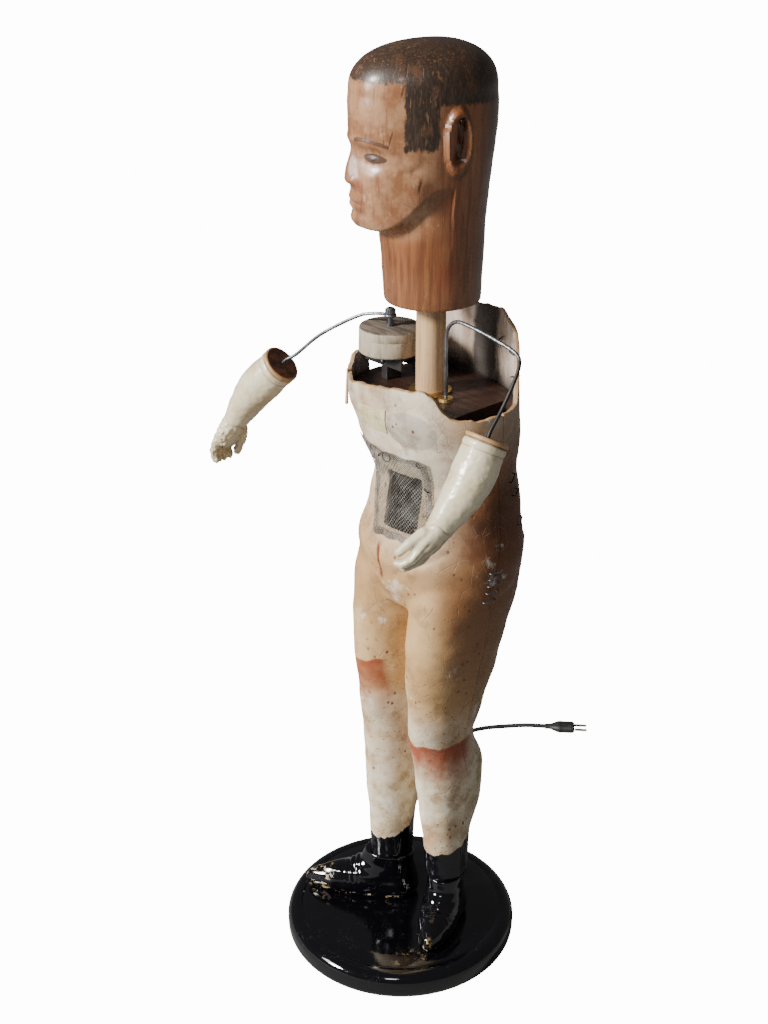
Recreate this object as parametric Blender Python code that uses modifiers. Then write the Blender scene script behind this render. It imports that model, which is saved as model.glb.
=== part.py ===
"""A carved and papier-mache shop figure, wired for sound, standing on a turned black base.

The figure faces -Y, its left side is +X and it stands on z = 0. All sizes are in metres.
The moulded body is two shells, front and back, that meet in a seam down the sides. The head is
a carved block on a dowel, and the two doll's forearms hang on steel wires.
"""

import math
from collections import namedtuple

import bmesh
import bpy
from mathutils import Matrix, Vector

GAP = 0.0003  # between pieces that touch
WALL = 0.0048  # of the papier-mache

# Turned base and the boots that stand on it
BASE_RADIUS = 0.1435
BASE_HEIGHT = 0.035
BASE_EDGE = 0.0145
BOOT_TOP = 0.135
SCREW_RADIUS = 0.003

# Neck and head
NECK_AXIS = Vector((0.020, 0.021, 0.0))
DOWEL_RADIUS = 0.016
DOWEL_FOOT = 0.706
DOWEL_TOP = 0.902
HEAD_BOTTOM = 0.834
HEAD_TURN = math.radians(-23)

# Board across the chest, which holds the neck, and the shelf at the waist
CHEST_BOARD_Z = 0.722
CHEST_BOARD_THICK = 0.014
WAIST_SHELF_Z = 0.572
SHELF_THICK = 0.009

# The right arm: a wooden puck on a black channel, with the wire turning on its spindle
PUCK_AXIS = Vector((-0.043, 0.021, 0.0))
PUCK_RADIUS = 0.035
PUCK_Z = 0.760
PUCK_THICK = 0.028
WIRE_RADIUS = 0.002
EYE_Z = 0.7998

# Forearms: where the elbow end of each is, and which way it points
RIGHT_ELBOW = Vector((-0.172, -0.028, 0.722))
RIGHT_ALONG = Vector((-0.67, -0.25, -0.70)).normalized()
LEFT_ELBOW = Vector((0.162, -0.038, 0.734))
LEFT_ALONG = Vector((0.0, -0.50, -0.87)).normalized()
LEFT_WIRE_FOOT = Vector((0.052, 0.013, 0.0))
ELBOW_RADIUS = 0.0232

# Loudspeaker behind the belly window
SPEAKER_TURN = math.radians(7)
SPEAKER_Z = 0.620

# Mains cord
CORD_RADIUS = 0.00325
COIL_CENTRE = Vector((-0.187, 0.242, 0.0))

Station = namedtuple("Station", "z x y half_width front back")

TORSO = [
    Station(0.488, 0.025, 0.024, 0.084, 0.058, 0.070),
    Station(0.522, 0.027, 0.027, 0.0975, 0.074, 0.087),
    Station(0.552, 0.028, 0.030, 0.1000, 0.083, 0.092),
    Station(0.600, 0.027, 0.036, 0.089, 0.076, 0.086),
    Station(0.640, 0.025, 0.040, 0.082, 0.073, 0.079),
    Station(0.690, 0.024, 0.028, 0.099, 0.076, 0.082),
    Station(0.720, 0.022, 0.023, 0.105, 0.080, 0.080),
    Station(0.830, 0.018, 0.021, 0.108, 0.082, 0.078),
]
LEFT_LEG = [
    Station(0.100, 0.053, 0.027, 0.0240, 0.028, 0.030),
    Station(0.155, 0.052, 0.027, 0.0245, 0.031, 0.033),
    Station(0.200, 0.049, 0.032, 0.0290, 0.041, 0.050),
    Station(0.250, 0.048, 0.031, 0.0325, 0.045, 0.052),
    Station(0.300, 0.045, 0.024, 0.0330, 0.045, 0.040),
    Station(0.350, 0.052, 0.024, 0.0365, 0.053, 0.050),
    Station(0.400, 0.058, 0.024, 0.0405, 0.064, 0.064),
    Station(0.450, 0.065, 0.024, 0.0440, 0.068, 0.070),
    Station(0.500, 0.070, 0.027, 0.0480, 0.070, 0.078),
    Station(0.560, 0.072, 0.031, 0.0500, 0.060, 0.078),
]
RIGHT_LEG = [
    Station(0.100, -0.025, 0.008, 0.0240, 0.028, 0.030),
    Station(0.155, -0.025, 0.009, 0.0245, 0.031, 0.033),
    Station(0.200, -0.028, 0.017, 0.0290, 0.041, 0.048),
    Station(0.250, -0.030, 0.019, 0.0310, 0.044, 0.048),
    Station(0.300, -0.030, 0.017, 0.0330, 0.044, 0.040),
    Station(0.350, -0.028, 0.018, 0.0360, 0.052, 0.050),
    Station(0.400, -0.0255, 0.020, 0.0405, 0.063, 0.064),
    Station(0.450, -0.022, 0.020, 0.0430, 0.067, 0.070),
    Station(0.500, -0.020, 0.024, 0.0480, 0.068, 0.078),
    Station(0.560, -0.016, 0.031, 0.0500, 0.060, 0.078),
]

RIM_FRONT = [
    (-0.20, 0.715),
    (-0.098, 0.716),
    (-0.0885, 0.728),
    (-0.080, 0.752),
    (-0.070, 0.744),
    (-0.045, 0.741),
    (0.000, 0.752),
    (0.045, 0.760),
    (0.086, 0.758),
    (0.094, 0.738),
    (0.112, 0.728),
    (0.20, 0.728),
]
RIM_BACK = [
    (-0.200, 0.716),
    (-0.085, 0.716),
    (-0.064, 0.722),
    (-0.054, 0.752),
    (-0.045, 0.808),
    (-0.036, 0.815),
    (0.058, 0.815),
    (0.094, 0.800),
    (0.112, 0.765),
    (0.119, 0.735),
    (0.135, 0.728),
    (0.200, 0.728),
]
TRUNK_HEIGHTS = [0.488, 0.505, 0.522, 0.552, 0.576, 0.600, 0.620, 0.640, 0.665, 0.690, 0.720, 0.760, 0.830]
LEG_HEIGHTS = [0.100, 0.155, 0.178, 0.200, 0.225, 0.250, 0.275, 0.300, 0.325, 0.350, 0.375,
               0.400, 0.430, 0.465, 0.500, 0.530, 0.560]
GROMMET_Z = 0.290
GROMMET_RADIUS = 0.0062
COIL_INNER = 0.026
COIL_OUTER = 0.046
COIL_LAYERS = 2
PLUG_FLATTEN = 0.62
PLUG_Z = 0.0115 * PLUG_FLATTEN + GAP  # the plug lies flat, which lifts the cord's end
CORD_FLOOR = CORD_RADIUS + GAP
CORD_DROP = [
    (-0.0300, 0.0590, 0.2900),
    (-0.0300, 0.0760, 0.2900),
    (-0.0300, 0.0890, 0.2899),
    (-0.0300, 0.1030, 0.2862),
    (-0.0302, 0.1135, 0.2765),
    (-0.0305, 0.1190, 0.2620),
    (-0.0310, 0.1200, 0.2400),
    (-0.0320, 0.1215, 0.1900),
    (-0.0335, 0.1270, 0.1300),
    (-0.0365, 0.1400, 0.0800),
    (-0.0430, 0.1550, 0.0420),
    (-0.0560, 0.1700, 0.0150),
    (-0.0760, 0.1830, CORD_FLOOR),
    (-0.1050, 0.1905, CORD_FLOOR),
    (-0.1350, 0.1930, CORD_FLOOR),
    (-0.1650, 0.1922, CORD_FLOOR),
    (-0.1870, 0.1920, CORD_FLOOR),
]
CORD_TAIL = [
    (-0.2370, 0.2380, CORD_FLOOR),
    (-0.2390, 0.2640, CORD_FLOOR),
    (-0.2430, 0.2950, CORD_FLOOR),
    (-0.2470, 0.3300, CORD_FLOOR),
    (-0.2450, 0.3620, CORD_FLOOR),
    (-0.2330, 0.3980, CORD_FLOOR),
    (-0.2090, 0.4310, 0.0045),
    (-0.1880, 0.4500, PLUG_Z),
    (-0.1680, 0.4681, PLUG_Z),
]


# ---------------------------------------------------------------- scene and materials


def clear_scene():
    for thing in list(bpy.data.objects):
        bpy.data.objects.remove(thing)


def new_collection(name, hidden=False):
    collection = bpy.data.collections.new(name)
    bpy.context.scene.collection.children.link(collection)
    collection.hide_render = hidden
    return collection


def material(name, colour, roughness, metallic=0.0):
    made = bpy.data.materials.new(name)
    made.use_nodes = True
    shader = made.node_tree.nodes["Principled BSDF"]
    shader.inputs["Base Color"].default_value = (*colour, 1.0)
    shader.inputs["Roughness"].default_value = roughness
    shader.inputs["Metallic"].default_value = metallic
    made.diffuse_color = (*colour, 1.0)
    return made


clear_scene()
FIGURE = new_collection("shop_figure")
CUTTERS = new_collection("cutters", hidden=True)

BLACK_GLOSS = material("black_gloss_paint", (0.010, 0.010, 0.014), 0.12)
PAPIER_MACHE = material("painted_papier_mache", (0.70, 0.60, 0.46), 0.55)
CARVED_WOOD = material("carved_wood", (0.42, 0.20, 0.10), 0.38)
PALE_WOOD = material("pale_dowel_wood", (0.66, 0.43, 0.24), 0.50)
GREY_WOOD = material("worn_grey_wood", (0.36, 0.31, 0.25), 0.75)
DARK_WOOD = material("dark_brown_wood", (0.09, 0.035, 0.018), 0.40)
IVORY = material("ivory_composition", (0.76, 0.70, 0.52), 0.30)
STEEL = material("steel_wire", (0.33, 0.34, 0.36), 0.35, 1.0)
BLACK_STEEL = material("black_steel", (0.02, 0.02, 0.022), 0.40, 0.6)
GREY_MESH = material("grey_wire_mesh", (0.33, 0.31, 0.29), 0.55, 0.7)
SPEAKER_GREY = material("speaker_paper", (0.10, 0.11, 0.10), 0.80)
RUBBER = material("black_rubber", (0.015, 0.015, 0.015), 0.60)
BRASS = material("brass", (0.55, 0.40, 0.16), 0.35, 1.0)
PHENOLIC = material("brown_phenolic", (0.14, 0.06, 0.03), 0.45)
TAPE = material("yellowed_tape", (0.56, 0.52, 0.34), 0.60)


def add(name, mesh, finish, location=(0, 0, 0), rotation=None):
    """Puts a mesh in the figure as a named object."""
    piece = bpy.data.objects.new(name, mesh)
    FIGURE.objects.link(piece)
    piece.location = location
    if rotation is not None:
        piece.rotation_euler = rotation.to_euler()
    mesh.materials.append(finish)
    mesh.shade_smooth()
    mesh.set_sharp_from_angle(angle=math.radians(40))
    return piece


def cutter(name, mesh, location=(0, 0, 0), rotation=None):
    """A helper solid that the build leaves out."""
    helper = bpy.data.objects.new(name, mesh)
    CUTTERS.objects.link(helper)
    helper.location = location
    if rotation is not None:
        helper.rotation_euler = rotation.to_euler()
    helper.hide_render = True
    helper.display_type = "WIRE"
    return helper


def boolean(piece, other, operation="DIFFERENCE", solver="EXACT"):
    modifier = piece.modifiers.new(other.name, "BOOLEAN")
    modifier.operation = operation
    modifier.solver = solver
    modifier.object = other


def bevel(piece, width, segments=2):
    modifier = piece.modifiers.new("rounded_edges", "BEVEL")
    modifier.width = width
    modifier.segments = segments
    modifier.limit_method = "ANGLE"
    modifier.angle_limit = math.radians(40)


def settled(piece):
    """The piece's mesh with its modifiers carried out, in its own space."""
    bpy.context.view_layer.update()
    graph = bpy.context.evaluated_depsgraph_get()
    mesh = bpy.data.meshes.new_from_object(piece.evaluated_get(graph))
    return mesh


def settle(piece):
    """Carries out the piece's modifiers, so that a later cut starts from a plain mesh."""
    mesh = settled(piece)
    piece.modifiers.clear()
    piece.data = mesh


# ---------------------------------------------------------------- basic shapes


def to_mesh(name, shape):
    bmesh.ops.recalc_face_normals(shape, faces=shape.faces)
    mesh = bpy.data.meshes.new(name)
    shape.to_mesh(mesh)
    shape.free()
    return mesh


def box_mesh(name, width, depth, height):
    shape = bmesh.new()
    bmesh.ops.create_cube(shape, size=1.0)
    bmesh.ops.scale(shape, vec=(width, depth, height), verts=shape.verts)
    return to_mesh(name, shape)


def cylinder_mesh(name, radius, height, sides=24, top_radius=None):
    shape = bmesh.new()
    bmesh.ops.create_cone(
        shape,
        cap_ends=True,
        segments=sides,
        radius1=radius,
        radius2=radius if top_radius is None else top_radius,
        depth=height,
    )
    return to_mesh(name, shape)


def turned(name, profile, finish, location=(0, 0, 0), rotation=None, sides=32):
    """A lathe piece: profile is (radius, z) down its outer side, and up its bore if it has one."""
    mesh = bpy.data.meshes.new(name)
    points = [(radius, 0.0, z) for radius, z in profile]
    edges = [(i, i + 1) for i in range(len(points) - 1)]
    if profile[0][0] > 0 or profile[-1][0] > 0:
        edges.append((len(points) - 1, 0))
    mesh.from_pydata(points, edges, [])
    piece = add(name, mesh, finish, location, rotation)
    screw = piece.modifiers.new("lathe", "SCREW")
    screw.steps = sides
    screw.render_steps = sides
    screw.use_merge_vertices = True
    screw.merge_threshold = 0.00001
    return piece


def arc(centre_radius, centre_z, radius, start, end, steps):
    """Points of a circle's arc in a lathe profile, angles in degrees from +radius towards +z."""
    turn = [math.radians(start + (end - start) * i / steps) for i in range(steps + 1)]
    return [(centre_radius + radius * math.cos(a), centre_z + radius * math.sin(a)) for a in turn]


def facing(direction, up=Vector((0, 0, 1))):
    """The rotation that takes +Z to direction, and +Y as near to up as it can."""
    z = direction.normalized()
    x = up.cross(z)
    x = x.normalized() if x.length > 1e-6 else Vector((1, 0, 0))
    return Matrix((x, z.cross(x), z)).transposed()


def smooth_route(points, spacing):
    """Evenly spaced points of a Catmull-Rom curve through the given ones."""
    route = [Vector(p) for p in points]
    route = [2 * route[0] - route[1], *route, 2 * route[-1] - route[-2]]
    fine = []
    for a, b, c, d in zip(route, route[1:], route[2:], route[3:]):
        steps = 24
        for i in range(steps):
            t = i / steps
            fine.append(
                0.5 * (2 * b + (c - a) * t + (2 * a - 5 * b + 4 * c - d) * t**2
                       + (3 * b - a - 3 * c + d) * t**3)
            )
    fine.append(route[-2])
    length = sum((q - p).length for p, q in zip(fine, fine[1:]))
    count = max(2, round(length / spacing))
    wanted = [length * i / count for i in range(1, count)]
    even = [fine[0]]
    walked = 0.0
    for p, q in zip(fine, fine[1:]):
        step = (q - p).length
        while wanted and walked + step >= wanted[0]:
            even.append(p.lerp(q, (wanted.pop(0) - walked) / step))
        walked += step
    return [*even, fine[-1]]


def wire(name, points, radius, finish, resolution=2, origin=(0, 0, 0)):
    """A round wire or cord along the points, its ends capped."""
    curve = bpy.data.curves.new(name, "CURVE")
    curve.dimensions = "3D"
    curve.bevel_depth = radius
    curve.bevel_resolution = resolution
    curve.use_fill_caps = True
    line = curve.splines.new("POLY")
    line.points.add(len(points) - 1)
    for place, point in zip(line.points, points):
        place.co = (*(Vector(point) - Vector(origin)), 1.0)
    piece = bpy.data.objects.new(name, curve)
    FIGURE.objects.link(piece)
    piece.location = origin
    curve.materials.append(finish)
    return piece


# ---------------------------------------------------------------- lofts


def station_at(stations, z):
    """The section at a height, eased between the stations on either side."""
    z = min(max(z, stations[0].z), stations[-1].z)
    for low, high in zip(stations, stations[1:]):
        if z <= high.z:
            t = (z - low.z) / (high.z - low.z)
            t = t * t * (3 - 2 * t) * 0.5 + t * 0.5
            return Station(*(a + (b - a) * t for a, b in zip(low, high)))
    return stations[-1]


def section_point(section, angle, grow=0.0):
    """A point of the section: angle 0 is the front, and +90 degrees is the figure's left."""
    depth = section.front if math.cos(angle) > 0 else section.back
    return Vector(
        (
            section.x + (section.half_width + grow) * math.sin(angle),
            section.y - (depth + grow) * math.cos(angle),
            section.z,
        )
    )


def loft_mesh(name, rings):
    """A closed skin through rings of points, with a flat cap at each end."""
    shape = bmesh.new()
    loops = [[shape.verts.new(point) for point in ring] for ring in rings]
    for lower, upper in zip(loops, loops[1:]):
        for i in range(len(lower)):
            j = (i + 1) % len(lower)
            shape.faces.new((lower[i], lower[j], upper[j], upper[i]))
    caps = [shape.faces.new(loops[0][::-1]), shape.faces.new(loops[-1])]
    bmesh.ops.triangulate(shape, faces=caps)
    return to_mesh(name, shape)


def body_mesh(name, stations, heights, grow, sides):
    angles = [math.tau * i / sides for i in range(sides)]
    rings = []
    for z in heights:
        section = station_at(stations, z)._replace(z=z)
        rings.append([section_point(section, angle, grow) for angle in angles])
    return loft_mesh(name, rings)


def prism_mesh(name, outline, depth):
    """An upright outline of (x, z) points, drawn out along Y to both sides."""
    shape = bmesh.new()
    near = [shape.verts.new((x, -depth / 2, z)) for x, z in outline]
    face = shape.faces.new(near)
    drawn = bmesh.ops.extrude_face_region(shape, geom=[face])
    moved = [v for v in drawn["geom"] if isinstance(v, bmesh.types.BMVert)]
    bmesh.ops.translate(shape, vec=(0, depth, 0), verts=moved)
    return to_mesh(name, shape)


# ---------------------------------------------------------------- base and boots


def make_base():
    edge = arc(BASE_RADIUS - BASE_EDGE, BASE_HEIGHT - BASE_EDGE, BASE_EDGE, 90, 0, 5)
    foot = arc(BASE_RADIUS - 0.012, 0.012, 0.012, 0, -90, 4)
    groove = BASE_RADIUS - BASE_EDGE - 0.004
    profile = [
        (0.0, BASE_HEIGHT),
        (groove - 0.003, BASE_HEIGHT),
        (groove - 0.0015, BASE_HEIGHT - 0.0012),
        (groove, BASE_HEIGHT),
        *edge,
        *foot,
        (0.0, 0.0),
    ]
    base = turned("base_plinth", profile, BLACK_GLOSS, sides=40)
    settle(base)
    for side, ankle in (("right", RIGHT_LEG[0]), ("left", LEFT_LEG[0])):
        bore = cutter(
            side + "_screw_bore",
            cylinder_mesh(side + "_screw_bore", SCREW_RADIUS + GAP, 0.2, 12),
            (ankle.x, ankle.y, 0.0),
        )
        sink = cutter(
            side + "_screw_sink",
            cylinder_mesh(side + "_screw_sink", 0.009, 0.02, 16),
            (ankle.x, ankle.y, 0.0),
        )
        boolean(base, bore)
        boolean(base, sink)
    settle(base)


def boot_rings(ankle, toe_turn, length):
    """Upright rings up the shaft, which lean over into the foot below the ankle."""
    forward = Vector((math.sin(toe_turn), -math.cos(toe_turn), 0.0))
    across = Vector((forward.y, -forward.x, 0.0)) * -1
    sole = BASE_HEIGHT + GAP
    # height over the base, reach forward, reach back, half width
    levels = [
        (0.000, length * 0.93, 0.030, 0.0235),
        (0.004, length * 0.98, 0.034, 0.0262),
        (0.012, length, 0.035, 0.0275),
        (0.020, length * 0.97, 0.034, 0.0262),
        (0.030, length * 0.78, 0.032, 0.0240),
        (0.039, length * 0.48, 0.030, 0.0225),
        (0.050, length * 0.34, 0.028, 0.0215),
        (0.061, length * 0.30, 0.028, 0.0220),
    ]
    centre = Vector((ankle.x, ankle.y, 0.0))
    rings = []
    for height, ahead, behind, half in levels:
        ring = []
        for i in range(20):
            angle = math.tau * i / 20
            reach = ahead if math.cos(angle) > 0 else behind
            ball = 1.0 + 0.10 * max(0.0, math.cos(angle)) * (height < 0.03)
            ring.append(
                centre
                + forward * reach * math.cos(angle)
                + across * half * ball * math.sin(angle)
                + Vector((0, 0, sole + height))
            )
        rings.append(ring)
    return rings


def make_boot(side, leg, toe_turn, length):
    ankle = leg[0]
    rings = boot_rings(ankle, toe_turn, length)
    # The shaft goes up inside the leg shell, a gap clear of its inner face.
    for z in (ankle.z - 2 * GAP, BOOT_TOP):
        section = station_at(leg, z)._replace(z=z)
        inside = -WALL - 0.0012
        angles = [math.tau * i / 20 + toe_turn for i in range(20)]
        rings.append([section_point(section, angle, inside) for angle in angles])
    boot = add(side + "_boot", loft_mesh(side + "_boot", rings), BLACK_GLOSS)
    hole = cutter(
        side + "_boot_hole",
        cylinder_mesh(side + "_boot_hole", SCREW_RADIUS + GAP, 0.08, 12),
        (ankle.x, ankle.y, BASE_HEIGHT),
    )
    boolean(boot, hole)
    settle(boot)
    head = 0.0065
    turned(
        side + "_boot_screw",
        [
            (0.0, BASE_HEIGHT + 0.038),
            (SCREW_RADIUS, BASE_HEIGHT + 0.034),
            (SCREW_RADIUS, 0.010 - GAP),
            (head, 0.010 - GAP),
            (head, 0.005),
            (0.0, 0.005),
        ],
        STEEL,
        (ankle.x, ankle.y, 0.0),
        sides=12,
    )


# ---------------------------------------------------------------- moulded body shells


def body_solid(name, grow, raise_foot):
    """Trunk and legs joined; grow is 0 for the outer face and -WALL for the inner one."""
    heights = [z + (raise_foot if z == LEG_HEIGHTS[0] else 0.0) for z in LEG_HEIGHTS]
    solid = cutter(name, body_mesh(name, TORSO, TRUNK_HEIGHTS, grow, 28))
    for side, leg in (("left", LEFT_LEG), ("right", RIGHT_LEG)):
        limb = cutter(f"{name}_{side}_leg", body_mesh(f"{name}_{side}", leg, heights, grow, 16))
        boolean(solid, limb, "UNION", "MANIFOLD")
    settle(solid)
    return solid


def seam_wall(name, shift, far_side):
    """The space from the seam to far_side, a y; the seam follows the sides of legs and trunk."""
    across = [(-0.30, RIGHT_LEG), (-0.030, RIGHT_LEG), (0.055, LEFT_LEG), (0.30, LEFT_LEG)]
    heights = [0.021, 0.155, 0.200, 0.250, 0.300, 0.350, 0.450, 0.552, 0.640, 0.720, 0.90]
    shape = bmesh.new()
    grid = []
    for z in heights:
        row = []
        for x, leg in across:
            stations = leg if z < 0.53 else TORSO
            row.append(shape.verts.new((x, station_at(stations, z).y + shift, z)))
        grid.append(row)
    for lower, upper in zip(grid, grid[1:]):
        for i in range(len(lower) - 1):
            shape.faces.new((lower[i], lower[i + 1], upper[i + 1], upper[i]))
    bmesh.ops.triangulate(shape, faces=shape.faces, quad_method="FIXED", ngon_method="BEAUTY")
    drawn = bmesh.ops.extrude_face_region(shape, geom=shape.faces[:])
    for vert in drawn["geom"]:
        if isinstance(vert, bmesh.types.BMVert):
            vert.co.y = far_side
    return cutter(name, to_mesh(name, shape))


def rim_block(name, outline):
    return cutter(name, prism_mesh(name, [*outline, (0.20, 1.0), (-0.20, 1.0)], 0.6))


def belly_frame():
    """The middle of the belly window and the way out of it."""
    section = station_at(TORSO, SPEAKER_Z)
    out = Vector((math.sin(SPEAKER_TURN), -math.cos(SPEAKER_TURN), 0.0))
    return section_point(section, SPEAKER_TURN), out


def make_shells():
    figure = body_solid("whole_body", 0.0, 0.0)
    hollow = body_solid("body_hollow", -WALL, -0.004)
    boolean(figure, hollow, solver="MANIFOLD")
    settle(figure)
    middle, _ = belly_frame()
    window = cutter(
        "window_cut",
        box_mesh("window_cut", 0.048, 0.06, 0.066),
        (middle.x, middle.y, SPEAKER_Z),
        Matrix.Rotation(SPEAKER_TURN, 3, "Z"),
    )
    shells = []
    for name, shift, far_side, rim in (
        ("front_shell", -GAP / 2, 0.35, RIM_FRONT),
        ("back_shell", GAP / 2, -0.30, RIM_BACK),
    ):
        shell = add(name, figure.data.copy(), PAPIER_MACHE)
        boolean(shell, seam_wall(name + "_seam", shift, far_side), solver="MANIFOLD")
        boolean(shell, rim_block(name + "_rim", rim), solver="MANIFOLD")
        if name == "front_shell":
            boolean(shell, window, solver="MANIFOLD")
        settle(shell)
        shells.append(shell)
    knee = station_at(RIGHT_LEG, GROMMET_Z)
    bore = cutter(
        "cord_bore",
        cylinder_mesh("cord_bore", GROMMET_RADIUS + GAP, 0.05, 16),
        (knee.x, knee.y + knee.back, GROMMET_Z),
        Matrix.Rotation(math.pi / 2, 3, "X"),
    )
    boolean(shells[1], bore)
    settle(shells[1])


# ---------------------------------------------------------------- inside the body


def section_plate(name, z, thick, margin, finish, sides=22):
    """A board cut to the inside of the trunk, margin clear of its inner face."""
    rings = []
    for level in (z - thick / 2, z + thick / 2):
        ring = []
        for i in range(sides):
            angle = math.tau * i / sides
            low = section_point(station_at(TORSO, z - thick / 2), angle, -WALL - margin)
            high = section_point(station_at(TORSO, z + thick / 2), angle, -WALL - margin)
            axis = Vector((station_at(TORSO, z).x, station_at(TORSO, z).y, 0.0))
            inner = min((low, high), key=lambda p: (p.xy - axis.xy).length)
            ring.append(Vector((inner.x, inner.y, level)))
        rings.append(ring)
    return add(name, loft_mesh(name, rings), finish)


def bore(piece, name, radius, place, depth=0.2, sides=20, rotation=None):
    helper = cutter(name, cylinder_mesh(name, radius, depth, sides), place, rotation)
    boolean(piece, helper)


def make_boards():
    board = section_plate("chest_board", CHEST_BOARD_Z, CHEST_BOARD_THICK, 0.0012, DARK_WOOD)
    bore(board, "neck_hole", 0.0205 + GAP, NECK_AXIS + Vector((0, 0, CHEST_BOARD_Z)), sides=24)
    bore(board, "socket_hole", 0.0055 + GAP, LEFT_WIRE_FOOT + Vector((0, 0, CHEST_BOARD_Z)))
    gap_side = cutter(
        "arm_gap",
        box_mesh("arm_gap", 0.05, 0.075, 0.1),
        (0.119, 0.020, CHEST_BOARD_Z),
    )
    boolean(board, gap_side)
    settle(board)
    shelf = section_plate("waist_shelf", WAIST_SHELF_Z, SHELF_THICK, 0.0012, DARK_WOOD)
    bore(shelf, "cord_pass", 0.010, (-0.028, 0.052, WAIST_SHELF_Z), sides=14)
    settle(shelf)


def make_neck():
    turned(
        "neck_bush",
        [
            (0.0232, CHEST_BOARD_Z + 0.0100),
            (0.0232, CHEST_BOARD_Z + CHEST_BOARD_THICK / 2 + GAP),
            (0.0205, CHEST_BOARD_Z + CHEST_BOARD_THICK / 2 + GAP),
            (0.0205, CHEST_BOARD_Z - CHEST_BOARD_THICK / 2),
            (DOWEL_RADIUS + GAP, CHEST_BOARD_Z - CHEST_BOARD_THICK / 2),
            (DOWEL_RADIUS + GAP, CHEST_BOARD_Z + 0.0100),
        ],
        BRASS,
        NECK_AXIS,
        sides=22,
    )
    dowel = turned(
        "neck_dowel",
        [(0.0, DOWEL_TOP), (DOWEL_RADIUS, DOWEL_TOP), (DOWEL_RADIUS, DOWEL_FOOT), (0.0, DOWEL_FOOT)],
        PALE_WOOD,
        NECK_AXIS,
        sides=22,
    )
    settle(dowel)
    shaft_top = DOWEL_FOOT + 0.022
    bore(dowel, "shaft_socket", 0.003 + GAP, NECK_AXIS + Vector((0, 0, DOWEL_FOOT)), 2 * 0.0225, 12)
    settle(dowel)
    motor_top = DOWEL_FOOT - 0.006
    motor_foot = motor_top - 0.040
    turned(
        "neck_motor",
        [
            (0.0, motor_top),
            (0.0165, motor_top),
            (0.0185, motor_top - 0.002),
            (0.0185, motor_foot),
            (0.0, motor_foot),
        ],
        BLACK_STEEL,
        NECK_AXIS,
        sides=24,
    )
    turned(
        "neck_motor_shaft",
        [(0.0, shaft_top), (0.003, shaft_top), (0.003, motor_top + GAP), (0.0, motor_top + GAP)],
        STEEL,
        NECK_AXIS,
        sides=12,
    )


def make_motor_strap():
    """A steel strap bent into a U, which hangs the neck motor under the chest board."""
    thick = 0.0016
    top = CHEST_BOARD_Z - CHEST_BOARD_THICK / 2 - GAP
    foot = DOWEL_FOOT - 0.046 - GAP - thick
    inner_half = 0.0185 + GAP
    strap = add(
        "motor_strap",
        box_mesh("motor_strap", 2 * (inner_half + thick), 0.014, top - foot),
        BLACK_STEEL,
        NECK_AXIS + Vector((0, 0, (top + foot) / 2)),
    )
    inside = cutter(
        "strap_inside",
        box_mesh("strap_inside", 2 * inner_half, 0.03, top - foot),
        NECK_AXIS + Vector((0, 0, (top + foot) / 2 + thick)),
    )
    boolean(strap, inside)
    settle(strap)


def make_speaker():
    middle, out = belly_frame()
    turn = facing(out)
    # Local +Z points out through the window; the flange lies just behind the wall.
    place = Vector((middle.x, middle.y, SPEAKER_Z)) - out * (WALL + 0.0140)
    turned(
        "speaker_frame",
        [
            (0.0375, 0.0),
            (0.0375, -0.0020),
            (0.0330, -0.0020),
            (0.0160, -0.0190),
            (0.0160, -0.0215),
            (0.0100, -0.0215),
            (0.0100, -0.0195),
            (0.0140, -0.0180),
            (0.0318, 0.0),
        ],
        BLACK_STEEL,
        place,
        turn,
        sides=22,
    )
    turned(
        "speaker_cone",
        [
            (0.0, -0.0105),
            (0.0050, -0.0112),
            (0.0090, -0.0135),
            (0.0270, 0.0006),
            (0.0295, 0.0020),
            (0.0310, 0.0006),
            (0.0305, 0.0004),
            (0.0268, -0.0012),
            (0.0092, -0.0160),
            (0.0, -0.0170),
        ],
        SPEAKER_GREY,
        place + out * 0.0006,
        turn,
        sides=22,
    )
    turned(
        "speaker_magnet",
        [(0.0, -0.0218), (0.0190, -0.0218), (0.0190, -0.0310), (0.0, -0.0310)],
        STEEL,
        place,
        turn,
        sides=24,
    )


def belly_patch(name, corners, lift, thick, finish, across=6, up=6):
    """A thin sheet on the belly's outer face; corners are (angle, z), clockwise from top right."""
    shape = bmesh.new()
    grid = []
    for layer in (lift, lift + thick):
        sheet = []
        for row in range(up + 1):
            line = []
            for column in range(across + 1):
                s, t = column / across, row / up
                top = [corners[3][k] + (corners[0][k] - corners[3][k]) * s for k in (0, 1)]
                low = [corners[2][k] + (corners[1][k] - corners[2][k]) * s for k in (0, 1)]
                angle, z = (low[k] + (top[k] - low[k]) * t for k in (0, 1))
                section = station_at(TORSO, z)._replace(z=z)
                line.append(shape.verts.new(section_point(section, math.radians(angle), layer)))
            sheet.append(line)
        grid.append(sheet)
    for sheet in grid:
        for low, high in zip(sheet, sheet[1:]):
            for i in range(across):
                shape.faces.new((low[i], low[i + 1], high[i + 1], high[i]))
    inner_rim, outer_rim = (
        sheet[0]
        + [line[-1] for line in sheet[1:]]
        + sheet[-1][-2::-1]
        + [line[0] for line in sheet[-2:0:-1]]
        for sheet in grid
    )
    for i in range(len(inner_rim)):
        j = (i + 1) % len(inner_rim)
        shape.faces.new((inner_rim[i], inner_rim[j], outer_rim[j], outer_rim[i]))
    return add(name, to_mesh(name, shape), finish)


def make_belly():
    belly_patch(
        "grille_mesh",
        [(30, 0.676), (34, 0.578), (-17, 0.577), (-36, 0.679)],
        0.0014,
        0.0010,
        GREY_MESH,
    )
    belly_patch(
        "tape_patch",
        [(6, 0.731), (4, 0.702), (-20, 0.702), (-20, 0.727)],
        0.0005,
        0.0008,
        TAPE,
        across=4,
        up=3,
    )


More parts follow.
